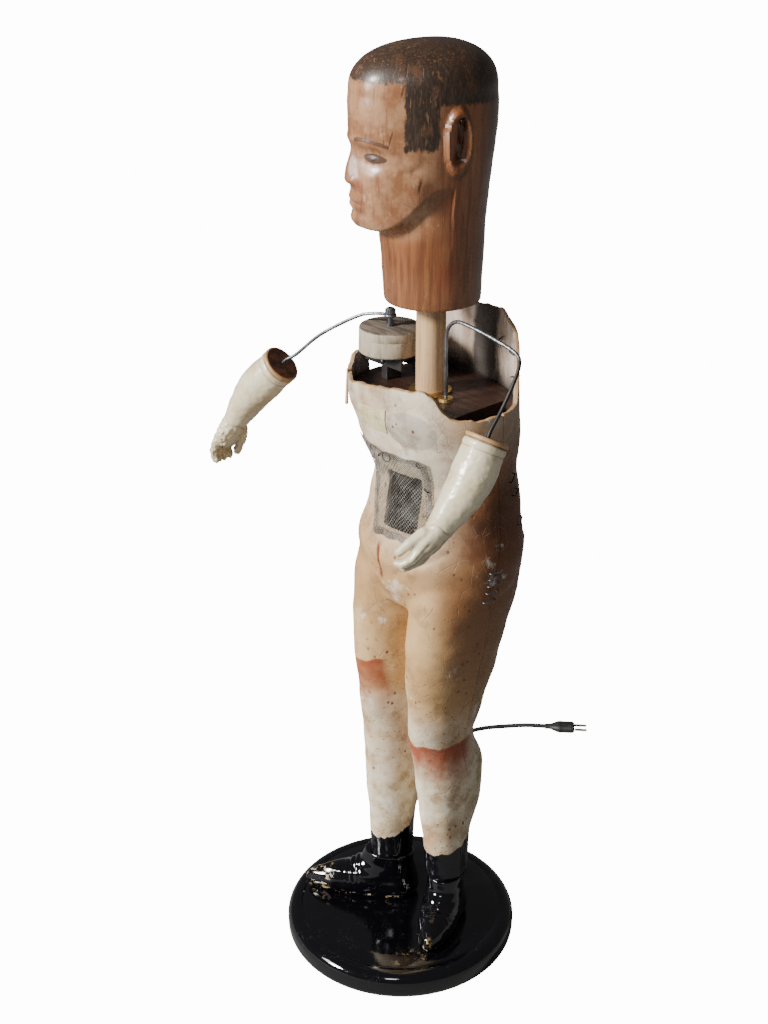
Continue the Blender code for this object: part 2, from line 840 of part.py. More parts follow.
def make_shelf_fittings():
    shelf_top = WAIST_SHELF_Z + SHELF_THICK / 2 + GAP
    transformer = add(
        "mains_transformer",
        box_mesh("mains_transformer", 0.034, 0.026, 0.028),
        BLACK_STEEL,
        (-0.010, 0.070, shelf_top + 0.014),
    )
    bevel(transformer, 0.0015)
    board = add(
        "sound_board",
        box_mesh("sound_board", 0.040, 0.034, 0.0016),
        PHENOLIC,
        (0.068, 0.068, shelf_top + 0.0008),
    )
    bevel(board, 0.0004, 1)
    block = add(
        "terminal_block",
        box_mesh("terminal_block", 0.012, 0.018, 0.012),
        IVORY,
        (0.026, 0.086, shelf_top + 0.006),
    )
    bevel(block, 0.001)


# ---------------------------------------------------------------- arms


def make_puck():
    """The right shoulder: channel, rivet, puck, spindle and nut, from the bottom up."""
    top = PUCK_Z - GAP
    channel_thick = 0.003
    arm = add(
        "shoulder_bracket",
        box_mesh("shoulder_bracket", 0.058, 0.026, 0.014),
        BLACK_STEEL,
        (PUCK_AXIS.x + 0.002, PUCK_AXIS.y, top - 0.007),
    )
    hollow = cutter(
        "channel_hollow",
        box_mesh("channel_hollow", 0.07, 0.020, 0.014),
        (PUCK_AXIS.x + 0.002, PUCK_AXIS.y, top - 0.007 - channel_thick),
    )
    post_foot = CHEST_BOARD_Z + CHEST_BOARD_THICK / 2 + GAP
    post = cutter(
        "channel_post",
        box_mesh("channel_post", 0.009, 0.0215, top - 0.002 - post_foot),
        (PUCK_AXIS.x + 0.002, PUCK_AXIS.y, (top - 0.002 + post_foot) / 2),
    )
    boolean(arm, hollow)
    boolean(arm, post, "UNION")
    bore(arm, "channel_hole", 0.0031, PUCK_AXIS + Vector((0, 0, PUCK_Z)), 0.030, 14)
    settle(arm)
    rivet_place = Vector((PUCK_AXIS.x + 0.002, PUCK_AXIS.y - 0.013 - GAP, top - 0.009))
    turned(
        "bracket_rivet",
        [(0.0, 0.0026), (0.0020, 0.0020), (0.0034, 0.0), (0.0, 0.0)],
        STEEL,
        rivet_place,
        facing(Vector((0, -1, 0))),
        sides=14,
    )
    puck = turned(
        "shoulder_puck",
        [
            (0.0031, PUCK_Z + PUCK_THICK),
            (PUCK_RADIUS - 0.0015, PUCK_Z + PUCK_THICK),
            (PUCK_RADIUS, PUCK_Z + PUCK_THICK - 0.0015),
            (PUCK_RADIUS - 0.0015, PUCK_Z + 0.001),
            (PUCK_RADIUS - 0.0025, PUCK_Z),
            (0.0031, PUCK_Z),
        ],
        GREY_WOOD,
        PUCK_AXIS,
        sides=32,
    )
    settle(puck)
    puck_top = PUCK_Z + PUCK_THICK
    turned(
        "arm_spindle",
        [
            (0.0, EYE_Z + 0.0062),
            (0.0028, EYE_Z + 0.0062),
            (0.0028, puck_top + 0.0035),
            (0.0048, puck_top + 0.0035),
            (0.0048, puck_top + GAP),
            (0.0028, puck_top + GAP),
            (0.0028, PUCK_Z - 0.012),
            (0.0, PUCK_Z - 0.012),
        ],
        STEEL,
        PUCK_AXIS,
        sides=14,
    )
    turned(
        "spindle_nut",
        [
            (0.0028 + GAP, EYE_Z + 0.0085),
            (0.0040, EYE_Z + 0.0085),
            (0.0060, EYE_Z + 0.0065),
            (0.0060, EYE_Z + WIRE_RADIUS + GAP),
            (0.0028 + GAP, EYE_Z + WIRE_RADIUS + GAP),
        ],
        STEEL,
        PUCK_AXIS,
        sides=16,
    )


def joined_wire(name, points, radius, finish, ring_centre=None, ring_radius=0.0, resolution=2):
    """A wire made a mesh, with a round eye joined on where it has one."""
    curve = wire(name + "_line", points, radius, finish, resolution)
    bpy.context.view_layer.update()
    graph = bpy.context.evaluated_depsgraph_get()
    mesh = bpy.data.meshes.new_from_object(curve.evaluated_get(graph))
    shape = bmesh.new()
    shape.from_mesh(mesh)
    bmesh.ops.remove_doubles(shape, verts=shape.verts, dist=0.00001)
    shape.to_mesh(mesh)
    shape.free()
    bpy.data.objects.remove(curve)
    mesh.materials.clear()
    piece = add(name, mesh, finish)
    if ring_centre is not None:
        bpy.ops.mesh.primitive_torus_add(
            location=ring_centre,
            major_radius=ring_radius,
            minor_radius=radius,
            major_segments=16,
            minor_segments=8,
        )
        ring = bpy.context.object
        ring.name = name + "_eye"
        for collection in list(ring.users_collection):
            collection.objects.unlink(ring)
        CUTTERS.objects.link(ring)
        ring.hide_render = True
        ring.display_type = "WIRE"
        boolean(piece, ring, "UNION")
        settle(piece)
    return piece


def make_right_wire():
    eye = Vector((PUCK_AXIS.x, PUCK_AXIS.y, EYE_Z))
    out = (RIGHT_ELBOW - eye).normalized()
    level = Vector((out.x, out.y, 0.0)).normalized()
    start = eye + level * 0.0056
    inside = RIGHT_ELBOW + RIGHT_ALONG * 0.022
    route = smooth_route(
        [
            start,
            eye + level * 0.018 - Vector((0, 0, 0.0005)),
            eye + level * 0.038 - Vector((0, 0, 0.0060)),
            eye + level * 0.060 - Vector((0, 0, 0.0180)),
            eye + level * 0.090 - Vector((0, 0, 0.0375)),
            RIGHT_ELBOW - RIGHT_ALONG * 0.020 + Vector((0.004, 0.002, 0)),
            RIGHT_ELBOW - RIGHT_ALONG * 0.009,
            RIGHT_ELBOW - RIGHT_ALONG * 0.001,
            RIGHT_ELBOW + RIGHT_ALONG * 0.010,
            inside,
        ],
        0.009,
    )
    joined_wire("right_arm_wire", route, WIRE_RADIUS, STEEL, eye, 0.0051)


def make_left_wire():
    foot = LEFT_WIRE_FOOT + Vector((0, 0, CHEST_BOARD_Z - 0.004))
    x, y = LEFT_WIRE_FOOT.xy
    route = smooth_route(
        [
            foot,
            (x, y, 0.750),
            (x - 0.001, y, 0.782),
            (x + 0.001, y, 0.808),
            (x + 0.012, y, 0.8195),
            (x + 0.030, y, 0.8200),
            (x + 0.065, y, 0.8150),
            (x + 0.097, y - 0.001, 0.8080),
            (x + 0.108, y - 0.006, 0.8000),
            (x + 0.111, y - 0.018, 0.782),
            (x + 0.1105, y - 0.033, 0.7590),
            LEFT_ELBOW - LEFT_ALONG * 0.009,
            LEFT_ELBOW - LEFT_ALONG * 0.001,
            LEFT_ELBOW + LEFT_ALONG * 0.010,
            LEFT_ELBOW + LEFT_ALONG * 0.022,
        ],
        0.009,
    )
    joined_wire("left_arm_wire", route, WIRE_RADIUS, STEEL)
    turned(
        "left_wire_socket",
        [
            (0.0078, CHEST_BOARD_Z + 0.0105),
            (0.0086, CHEST_BOARD_Z + CHEST_BOARD_THICK / 2 + GAP),
            (0.0055, CHEST_BOARD_Z + CHEST_BOARD_THICK / 2 + GAP),
            (0.0055, CHEST_BOARD_Z - CHEST_BOARD_THICK / 2),
            (WIRE_RADIUS + GAP, CHEST_BOARD_Z - CHEST_BOARD_THICK / 2),
            (WIRE_RADIUS + GAP, CHEST_BOARD_Z + 0.0105),
        ],
        BRASS,
        LEFT_WIRE_FOOT,
        sides=18,
    )


def make_forearm(side, elbow, along, bow, thumb):
    """A doll's forearm: it leaves the elbow along its axis, bows, and ends in a mitten hand.

    bow is the direction that the middle stands out to, thumb the side that the thumb is on.
    """
    bow = (bow - along * bow.dot(along)).normalized()
    wide = along.cross(bow)
    # distance from the elbow, sideways shift along -bow, half width, half thickness
    levels = [
        (0.0052, 0.0000, 0.0222, 0.0222),
        (0.0090, 0.0002, 0.0222, 0.0222),
        (0.0105, 0.0003, 0.0232, 0.0232),
        (0.0300, 0.0000, 0.0238, 0.0236),
        (0.0480, 0.0006, 0.0228, 0.0222),
        (0.0660, 0.0030, 0.0203, 0.0196),
        (0.0840, 0.0070, 0.0172, 0.0162),
        (0.0980, 0.0108, 0.0150, 0.0136),
        (0.1040, 0.0126, 0.0160, 0.0136),
        (0.1160, 0.0165, 0.0196, 0.0142),
        (0.1300, 0.0215, 0.0205, 0.0135),
        (0.1420, 0.0270, 0.0185, 0.0120),
        (0.1510, 0.0325, 0.0130, 0.0090),
        (0.1545, 0.0355, 0.0060, 0.0050),
    ]
    rings = []
    for reach, shift, half, thick in levels:
        centre = elbow + along * reach - bow * shift
        rings.append(
            [
                centre
                + wide * half * math.cos(math.tau * i / 18)
                + bow * thick * math.sin(math.tau * i / 18)
                for i in range(18)
            ]
        )
    arm = add(side + "_forearm", loft_mesh(side + "_forearm", rings), IVORY)
    root = elbow + along * 0.112 - bow * 0.022 + wide * thumb * 0.012
    tip = elbow + along * 0.140 - bow * 0.040 + wide * thumb * 0.020
    digit = []
    for share, radius in ((0.0, 0.0075), (0.35, 0.0080), (0.75, 0.0068), (0.95, 0.0040)):
        middle = root.lerp(tip, share)
        digit.append(
            [
                middle
                + wide * radius * math.cos(math.tau * i / 12)
                + bow * radius * math.sin(math.tau * i / 12)
                for i in range(12)
            ]
        )
    thumb_piece = cutter(side + "_thumb", loft_mesh(side + "_thumb", digit))
    boolean(arm, thumb_piece, "UNION")
    hollow = cutter(
        side + "_hollow",
        cylinder_mesh(side + "_hollow", 0.0175, 0.056, 20),
        elbow,
        facing(along),
    )
    boolean(arm, hollow)
    settle(arm)
    turned(
        side + "_elbow_plug",
        [
            (WIRE_RADIUS + GAP, 0.0),
            (ELBOW_RADIUS - 0.0012, 0.0),
            (ELBOW_RADIUS, -0.0010),
            (ELBOW_RADIUS, -0.0036),
            (ELBOW_RADIUS - 0.0012, -0.0048),
            (0.0175 - GAP, -0.0048),
            (0.0175 - GAP, -0.0240),
            (WIRE_RADIUS + GAP, -0.0240),
        ],
        DARK_WOOD,
        elbow,
        facing(-along),
        sides=22,
    )


# ---------------------------------------------------------------- carved head


def head_ring(z, front, back, half, squareness, count=24):
    """A ring of the head in its own frame, its face to -Y: rounder or squarer by squareness."""
    ring = []
    for i in range(count):
        angle = math.tau * i / count
        s, c = math.sin(angle), math.cos(angle)
        power = 2.0 / squareness
        reach = front if c > 0 else back
        x = half * math.copysign(abs(s) ** power, s)
        y = -reach * math.copysign(abs(c) ** power, c)
        ring.append(Vector((x, y, z - HEAD_BOTTOM)))
    return ring


def make_head():
    # height, reach to the face, reach to the back, half width, squareness
    levels = [
        (HEAD_BOTTOM, 0.0495, 0.0520, 0.0500, 2.0),
        (0.846, 0.0510, 0.0530, 0.0510, 2.0),
        (0.875, 0.0530, 0.0540, 0.0520, 2.0),
        (0.903, 0.0555, 0.0548, 0.0530, 2.0),
        (0.911, 0.0640, 0.0550, 0.0530, 2.0),
        (0.917, 0.0800, 0.0552, 0.0530, 2.0),
        (0.930, 0.0870, 0.0558, 0.0535, 2.0),
        (0.950, 0.0885, 0.0570, 0.0555, 2.0),
        (0.975, 0.0885, 0.0595, 0.0575, 2.1),
        (1.000, 0.0855, 0.0625, 0.0585, 2.15),
        (1.017, 0.0890, 0.0640, 0.0590, 2.2),
        (1.040, 0.0900, 0.0645, 0.0590, 2.2),
        (1.062, 0.0875, 0.0630, 0.0575, 2.15),
        (1.080, 0.0770, 0.0560, 0.0520, 2.1),
        (1.093, 0.0560, 0.0420, 0.0400, 2.0),
        (1.099, 0.0280, 0.0220, 0.0220, 2.0),
    ]
    place = NECK_AXIS + Vector((0, 0, HEAD_BOTTOM))
    turn = Matrix.Rotation(HEAD_TURN, 3, "Z")
    rings = [head_ring(*level) for level in levels]
    head = add("head", loft_mesh("head", rings), CARVED_WOOD, place, turn)
    nose = cutter(
        "nose",
        loft_mesh(
            "nose",
            [
                [
                    Vector((width * x, -0.076 - out * (x == 0), z - HEAD_BOTTOM))
                    for x in (-1, 0, 1)
                ]
                for z, width, out in (
                    (0.962, 0.0125, 0.0130),
                    (0.968, 0.0135, 0.0165),
                    (0.990, 0.0095, 0.0130),
                    (1.012, 0.0070, 0.0095),
                )
            ],
        ),
        place,
        turn,
    )
    boolean(head, nose, "UNION")
    for side in (-1, 1):
        ear_rings = []
        for z, reach, depth in (
            (0.976, 0.002, 0.006),
            (0.986, 0.005, 0.010),
            (1.010, 0.007, 0.014),
            (1.030, 0.007, 0.015),
            (1.042, 0.002, 0.009),
        ):
            ear_rings.append(
                [
                    Vector(
                        (
                            side * (0.056 + reach * math.cos(math.tau * i / 12)),
                            -0.010 + depth * math.sin(math.tau * i / 12),
                            z - HEAD_BOTTOM,
                        )
                    )
                    for i in range(12)
                ]
            )
        ear = cutter(f"ear_{side}", loft_mesh(f"ear_{side}", ear_rings), place, turn)
        boolean(head, ear, "UNION")
    bore(head, "dowel_hole", DOWEL_RADIUS + GAP, NECK_AXIS + Vector((0, 0, HEAD_BOTTOM)),
         2 * (DOWEL_TOP + GAP - HEAD_BOTTOM), 28)
    settle(head)


# ---------------------------------------------------------------- staples


def staple(name, place, out, across, width, finish=STEEL, lift=0.0006):
    """A wire staple lying on the shell, its crown along across; its points are cut off short."""
    out = out.normalized()
    across = (across - out * across.dot(out)).normalized()
    radius = 0.00055
    rise = lift + radius
    points = [
        place - across * (width / 2 + 0.0002) + out * rise,
        place - across * width / 4 + out * (rise + 0.0006),
        place + out * (rise + 0.0008),
        place + across * width / 4 + out * (rise + 0.0006),
        place + across * (width / 2 + 0.0002) + out * rise,
    ]
    return wire(name, points, radius, finish, 1)


def side_place(z, turn, stations, lift=0.0):
    section = station_at(stations, z)._replace(z=z)
    angle = math.radians(turn)
    point = section_point(section, angle, lift)
    out = Vector((math.sin(angle) / section.half_width,
                  -math.cos(angle) / (section.front if turn < 90 else section.back), 0.0))
    return point, out.normalized()


def make_staples():
    level = Vector((0.0, 1.0, 0.0))
    for i, z in enumerate((0.550, 0.542, 0.534, 0.525, 0.512)):
        place = max((side_place(z, 82, stations)[0] for stations in (TORSO, LEFT_LEG)), key=lambda p: p.x)
        out = side_place(z, 82, TORSO)[1]
        staple(f"hip_staple_{i + 1}", place + out * 0.0018, out, level, 0.017)
    for i, (z, turn, lean) in enumerate(((0.640, 108, 0.9), (0.622, 112, 0.4), (0.588, 116, 0.7))):
        place, out = side_place(z, turn, TORSO)
        staple(f"side_staple_{i + 1}", place + out * 0.0010, out,
               level + Vector((0, 0, lean)), 0.012, BLACK_STEEL)
    for i, (z, turn, lean) in enumerate(
        ((0.671, -8, 1.5), (0.672, 24, -1.5), (0.640, 28, -1.0), (0.604, 30, 1.4))
    ):
        place, out = side_place(z, turn, TORSO, 0.0020)
        staple(f"grille_staple_{i + 1}", place + out * 0.0006, out,
               Vector((0.7, 0.3, 0.5 * lean)), 0.006, BLACK_STEEL)


# ---------------------------------------------------------------- mains cord


def make_cord():
    knee = station_at(RIGHT_LEG, GROMMET_Z)
    wall = Vector((knee.x, knee.y + knee.back, GROMMET_Z))
    back = facing(Vector((0, 1, 0)))
    turned(
        "cord_grommet",
        [
            (CORD_RADIUS + 2 * GAP, 0.0260),
            (CORD_RADIUS + 0.0016, 0.0260),
            (0.0052, 0.0040),
            (0.0095, 0.0030),
            (0.0095, 0.0012),
            (GROMMET_RADIUS, 0.0012),
            (GROMMET_RADIUS, -WALL - 0.001),
            (CORD_RADIUS + 2 * GAP, -WALL - 0.001),
        ],
        RUBBER,
        wall + Vector((0, 0.0012, 0)),
        back,
        sides=18,
    )
    floor = CORD_RADIUS + GAP
    drop = smooth_route(CORD_DROP, 0.017)
    wire("cord_drop", drop, CORD_RADIUS, RUBBER, 2)
    inner, outer = COIL_INNER, COIL_OUTER
    height = 2 * CORD_RADIUS * COIL_LAYERS
    turned(
        "cord_coil",
        [
            (inner + 0.001, floor - CORD_RADIUS + height),
            (outer - 0.001, floor - CORD_RADIUS + height),
            (outer, floor - CORD_RADIUS + height - 0.001),
            (outer, floor - CORD_RADIUS + 0.001),
            (outer - 0.001, floor - CORD_RADIUS),
            (inner + 0.001, floor - CORD_RADIUS),
            (inner, floor - CORD_RADIUS + 0.001),
            (inner, floor - CORD_RADIUS + height - 0.001),
        ],
        RUBBER,
        COIL_CENTRE,
        sides=24,
    )
    tail = smooth_route(CORD_TAIL, 0.017)
    wire("cord_tail", tail, CORD_RADIUS, RUBBER, 2)
    end = Vector(CORD_TAIL[-1])
    along = (end - Vector(CORD_TAIL[-2])).normalized()
    turn = facing(along)
    plug_place = end + along * GAP
    plug = turned(
        "plug_body",
        [
            (0.0, 0.045),
            (0.0105, 0.045),
            (0.0115, 0.0435),
            (0.0115, 0.022),
            (0.0070, 0.014),
            (0.0055, 0.0),
            (0.0, 0.0),
        ],
        RUBBER,
        plug_place,
        turn,
        sides=20,
    )
    plug.scale = (1.0, PLUG_FLATTEN, 1.0)
    side = turn @ Vector((1, 0, 0))
    for name, sign in (("plug_pin_left", 1), ("plug_pin_right", -1)):
        turned(
            name,
            [(0.0, 0.0185), (0.0016, 0.0185), (0.0020, 0.0175), (0.0020, 0.0), (0.0, 0.0)],
            BRASS,
            plug_place + along * (0.045 + GAP) + side * sign * 0.0062,
            turn,
            sides=12,
        )


make_base()
make_boot("right", RIGHT_LEG, math.radians(-49), 0.112)
make_boot("left", LEFT_LEG, math.radians(30), 0.088)
make_shells()
make_boards()
make_neck()
make_motor_strap()
make_speaker()
make_belly()
make_shelf_fittings()
make_puck()
make_right_wire()
make_left_wire()
make_forearm("right", RIGHT_ELBOW, RIGHT_ALONG, Vector((-0.5, 0.0, 0.85)), 1)
make_forearm("left", LEFT_ELBOW, LEFT_ALONG, Vector((0.75, 0.25, -0.2)), 1)
make_head()
make_staples()
make_cord()
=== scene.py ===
import math

import bmesh
import bpy
import numpy as np
from mathutils import Matrix, Vector, noise


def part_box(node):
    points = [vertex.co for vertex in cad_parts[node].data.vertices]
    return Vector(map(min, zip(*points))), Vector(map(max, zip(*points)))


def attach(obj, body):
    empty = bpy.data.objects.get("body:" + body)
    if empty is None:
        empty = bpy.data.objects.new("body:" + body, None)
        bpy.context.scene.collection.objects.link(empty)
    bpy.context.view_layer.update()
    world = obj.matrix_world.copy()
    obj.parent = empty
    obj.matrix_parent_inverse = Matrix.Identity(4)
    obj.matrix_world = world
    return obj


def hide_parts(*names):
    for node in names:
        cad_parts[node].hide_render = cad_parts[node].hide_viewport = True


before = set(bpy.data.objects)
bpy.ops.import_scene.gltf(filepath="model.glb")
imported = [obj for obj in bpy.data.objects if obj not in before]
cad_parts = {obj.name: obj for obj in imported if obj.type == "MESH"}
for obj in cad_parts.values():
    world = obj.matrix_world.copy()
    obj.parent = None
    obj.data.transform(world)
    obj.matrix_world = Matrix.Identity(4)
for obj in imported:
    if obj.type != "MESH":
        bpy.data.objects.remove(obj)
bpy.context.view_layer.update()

UP = Vector((0, 0, 1))
GAP = 0.0003
WALL = 0.0048


# ---------------------------------------------------------------- shader arithmetic


class Paint:
    """A number or a colour inside one finish; arithmetic on it adds the nodes."""

    def __init__(self, finish, socket):
        self.finish = finish
        self.socket = socket

    def math(self, operation, *others):
        return self.finish.node("ShaderNodeMath", {"operation": operation}, *others)

    def __add__(self, other):
        return self.math("ADD", self, other)

    __radd__ = __add__

    def __mul__(self, other):
        return self.math("MULTIPLY", self, other)

    __rmul__ = __mul__

    def __sub__(self, other):
        return self.math("SUBTRACT", self, other)

    def __rsub__(self, other):
        return self.math("SUBTRACT", other, self)

    def __truediv__(self, other):
        return self.math("DIVIDE", self, other)

    def __pow__(self, other):
        return self.math("POWER", self, other)

    def both(self, other):
        return self.math("MINIMUM", self, other)

    def either(self, other):
        return self.math("MAXIMUM", self, other)

    def size(self):
        return self.math("ABSOLUTE", self)

    def ease(self, low, high):
        """0 below low, 1 above high, with a smooth step between; low may be the larger."""
        settings = {"interpolation_type": "SMOOTHSTEP"}
        if low < high:
            return self.finish.node("ShaderNodeMapRange", settings, self, low, high, 0.0, 1.0)
        return self.finish.node("ShaderNodeMapRange", settings, self, high, low, 1.0, 0.0)


class Finish:
    """One material, its Principled shader fed by Paint values."""

    def __init__(self, name, rough=0.5, metal=0.0, **fixed):
        self.material = bpy.data.materials.new(name)
        self.material.use_nodes = True
        self.tree = self.material.node_tree
        self.shader = self.tree.nodes["Principled BSDF"]
        self.shader.inputs["Roughness"].default_value = rough
        self.shader.inputs["Metallic"].default_value = metal
        for socket, value in fixed.items():
            self.shader.inputs[socket.replace("_", " ")].default_value = value

    def node(self, kind, settings, *values, output=0, **named):
        node = self.tree.nodes.new(kind)
        for key, value in settings.items():
            setattr(node, key, value)
        for key, value in [*enumerate(values), *named.items()]:
            self._feed(node.inputs[key.replace("_", " ") if isinstance(key, str) else key], value)
        return Paint(self, node.outputs[output])

    def _feed(self, socket, value):
        if value is None:
            return
        if isinstance(value, Paint):
            self.tree.links.new(value.socket, socket)
        elif isinstance(value, (tuple, list, Vector)) and socket.type == "RGBA":
            socket.default_value = (*value[:3], 1.0)
        else:
            socket.default_value = value

    def coordinates(self):
        return self.node("ShaderNodeTexCoord", {}, output="Object")

    def attribute(self, name, output="Fac"):
        return self.node("ShaderNodeAttribute", {"attribute_name": name}, output=output)

    def placed(self, location=(0, 0, 0), rotation=(0, 0, 0), scale=(1, 1, 1), at=None):
        at = at or self.coordinates()
        return self.node("ShaderNodeMapping", {}, at, location, rotation, scale)

    def axes(self, at=None):
        at = at or self.coordinates()
        return [self.node("ShaderNodeSeparateXYZ", {}, at, output=i) for i in range(3)]

    def cloud(self, scale, detail=3.0, rough=0.55, stretch=(1, 1, 1), at=None, shift=(0, 0, 0)):
        """Noise from 0 to 1; stretch below 1 along an axis draws it out that way."""
        where = self.placed(location=shift, scale=stretch, at=at)
        return self.node(
            "ShaderNodeTexNoise", {}, Vector=where, Scale=scale, Detail=detail, Roughness=rough
        )

    def cells(self, scale, feature="F1", stretch=(1, 1, 1), at=None, output="Distance", shift=(0, 0, 0)):
        where = self.placed(location=shift, scale=stretch, at=at)
        settings = {"feature": feature}
        return self.node("ShaderNodeTexVoronoi", settings, Vector=where, Scale=scale, output=output)

    def mix(self, under, over, amount):
        """The colour over laid on the colour under by amount."""
        node = self.tree.nodes.new("ShaderNodeMix")
        node.data_type = "RGBA"
        for key, value in (("Factor_Float", amount), ("A_Color", under), ("B_Color", over)):
            self._feed(next(s for s in node.inputs if s.identifier == key), value)
        return Paint(self, next(s for s in node.outputs if s.identifier == "Result_Color"))

    def near(self, place, radius, wobble=None, soft=0.4, stretch=(1, 1, 1)):
        """1 inside a rounded spot at place, falling to 0 at radius."""
        x, y, z = self.axes()
        square = sum(
            (((axis - middle) * (k / radius)) ** 2.0 for axis, middle, k in zip((x, y, z), place, stretch)),
            0.0,
        )
        reach = square ** 0.5
        if wobble is not None:
            reach = reach + wobble
        return reach.ease(1.0, 1.0 - soft)

    def colour(self, value):
        self._feed(self.shader.inputs["Base Color"], value)
        return self

    def rough(self, value):
        self._feed(self.shader.inputs["Roughness"], value)
        return self

    def metal(self, value):
        self._feed(self.shader.inputs["Metallic"], value)
        return self

    def bump(self, height, depth=0.001, strength=1.0):
        """Raises the surface by height, a value from 0 to 1, times depth in metres."""
        node = self.tree.nodes.new("ShaderNodeBump")
        node.inputs["Strength"].default_value = strength
        node.inputs["Distance"].default_value = depth
        self._feed(node.inputs["Height"], height)
        self.tree.links.new(node.outputs[0], self.shader.inputs["Normal"])
        return self


# ---------------------------------------------------------------- mesh work


def finished(name, shape, finish, body, smooth=True, angle=None, replaces=()):
    """Makes a bmesh a piece of the figure that rides on a body."""
    mesh = bpy.data.meshes.new(name)
    shape.to_mesh(mesh)
    shape.free()
    return piece_of(name, mesh, finish, body, smooth, angle, replaces)


def piece_of(name, data, finish, body, smooth=True, angle=None, replaces=()):
    piece = bpy.data.objects.new(name, data)
    bpy.context.scene.collection.objects.link(piece)
    if finish is not None:
        data.materials.clear()
        data.materials.append(finish.material)
    if isinstance(data, bpy.types.Mesh) and smooth:
        data.shade_smooth()
        if angle:
            data.set_sharp_from_angle(angle=math.radians(angle))
    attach(piece, body)
    if replaces:
        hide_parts(*replaces)
    return piece


def dress(node, finish):
    """Gives a node of the CAD its finish, and leaves its mesh alone."""
    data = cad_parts[node].data
    data.materials.clear()
    data.materials.append(finish.material)


def outward(shape):
    bmesh.ops.remove_doubles(shape, verts=shape.verts, dist=1e-7)
    bmesh.ops.recalc_face_normals(shape, faces=shape.faces)


def skin(shape, columns, rows, place):
    """A closed tube: place(turn, rise) gives the point for turn and rise from 0 to 1."""
    grid = bmesh.ops.create_grid(shape, x_segments=columns, y_segments=rows, size=1.0)
    for vert in grid["verts"]:
        turn = (vert.co.x + 1) / 2
        rise = (vert.co.y + 1) / 2
        vert.co = place(turn if turn < 1 - 1e-6 else 0.0, rise)
    bmesh.ops.remove_doubles(shape, verts=grid["verts"], dist=1e-7)
    rims = [edge for edge in shape.edges if edge.is_boundary]
    if rims:
        bmesh.ops.holes_fill(shape, edges=rims, sides=0)
    bmesh.ops.recalc_face_normals(shape, faces=shape.faces)


def frame_along(direction, up=UP):
    """Axes that take +Z to direction, with +Y as near to up as it can be."""
    z = direction.normalized()
    x = up.cross(z)
    x = x.normalized() if x.length > 1e-6 else Vector((1, 0, 0))
    return Matrix((x, z.cross(x), z)).transposed().to_4x4()


def lathe(profile, centre, direction=UP, steps=96, closed=False):
    """A turned piece: profile is (radius, height) pairs along the direction."""
    shape = bmesh.new()
    verts = [shape.verts.new((max(radius, 0.0), 0.0, height)) for radius, height in profile]
    ends = list(zip(verts, verts[1:]))
    if closed:
        ends.append((verts[-1], verts[0]))
    edges = [shape.edges.new(pair) for pair in ends]
    bmesh.ops.spin(
        shape,
        geom=verts + edges,
        cent=(0, 0, 0),
        axis=(0, 0, 1),
        angle=math.tau,
        steps=steps,
        use_merge=True,
    )
    bmesh.ops.remove_doubles(shape, verts=shape.verts, dist=1e-6)
    bmesh.ops.recalc_face_normals(shape, faces=shape.faces)
    place = Matrix.Translation(centre) @ frame_along(Vector(direction))
    bmesh.ops.transform(shape, matrix=place, verts=shape.verts)
    return shape


def arc(radius_at, height_at, radius, start, end, steps=8):
    turns = [math.radians(start + (end - start) * i / steps) for i in range(steps + 1)]
    return [(radius_at + radius * math.cos(a), height_at + radius * math.sin(a)) for a in turns]


def smooth_route(points, spacing):
    """Evenly spaced points of a Catmull-Rom curve through the given ones."""
    route = [Vector(p) for p in points]
    route = [2 * route[0] - route[1], *route, 2 * route[-1] - route[-2]]
    fine = []
    for a, b, c, d in zip(route, route[1:], route[2:], route[3:]):
        for i in range(24):
            t = i / 24
            bend = (2 * a - 5 * b + 4 * c - d) * t**2 + (3 * b - a - 3 * c + d) * t**3
            fine.append(0.5 * (2 * b + (c - a) * t + bend))
    fine.append(route[-2])
    lengths = [(q - p).length for p, q in zip(fine, fine[1:])]
    count = max(2, round(sum(lengths) / spacing))
    wanted = [sum(lengths) * i / count for i in range(1, count)]
    even = [fine[0]]
    walked = 0.0
    for (p, q), step in zip(zip(fine, fine[1:]), lengths):
        while wanted and walked + step >= wanted[0]:
            even.append(p.lerp(q, (wanted.pop(0) - walked) / step))
        walked += step
    return [*even, fine[-1]]


def rod(name, routes, radius, finish, body, sides=3, replaces=(), cyclic=False):
    """Round wire along one or more routes, as one curve piece."""
    curve = bpy.data.curves.new(name, "CURVE")
    curve.dimensions = "3D"
    curve.bevel_depth = radius
    curve.bevel_resolution = sides
    curve.use_fill_caps = True
    for route in routes:
        line = curve.splines.new("POLY")
        line.points.add(len(route) - 1)
        line.use_cyclic_u = cyclic
        for point, place in zip(line.points, route):
            point.co = (*place, 1.0)
        line.use_smooth = True
    return piece_of(name, curve, finish, body, False, None, replaces)


def tube_mesh(name, routes, radius, finish, body, sides=2, replaces=(), cyclic=False):
    """The same wire made a mesh, so that other pieces can follow it."""
    maker = rod(name + "_line", routes, radius, finish, body, sides, (), cyclic)
    graph = bpy.context.evaluated_depsgraph_get()
    mesh = bpy.data.meshes.new_from_object(maker.evaluated_get(graph))
    bpy.data.objects.remove(maker)
    shape = bmesh.new()
    shape.from_mesh(mesh)
    outward(shape)
    return finished(name, shape, finish, body, True, 50, replaces)


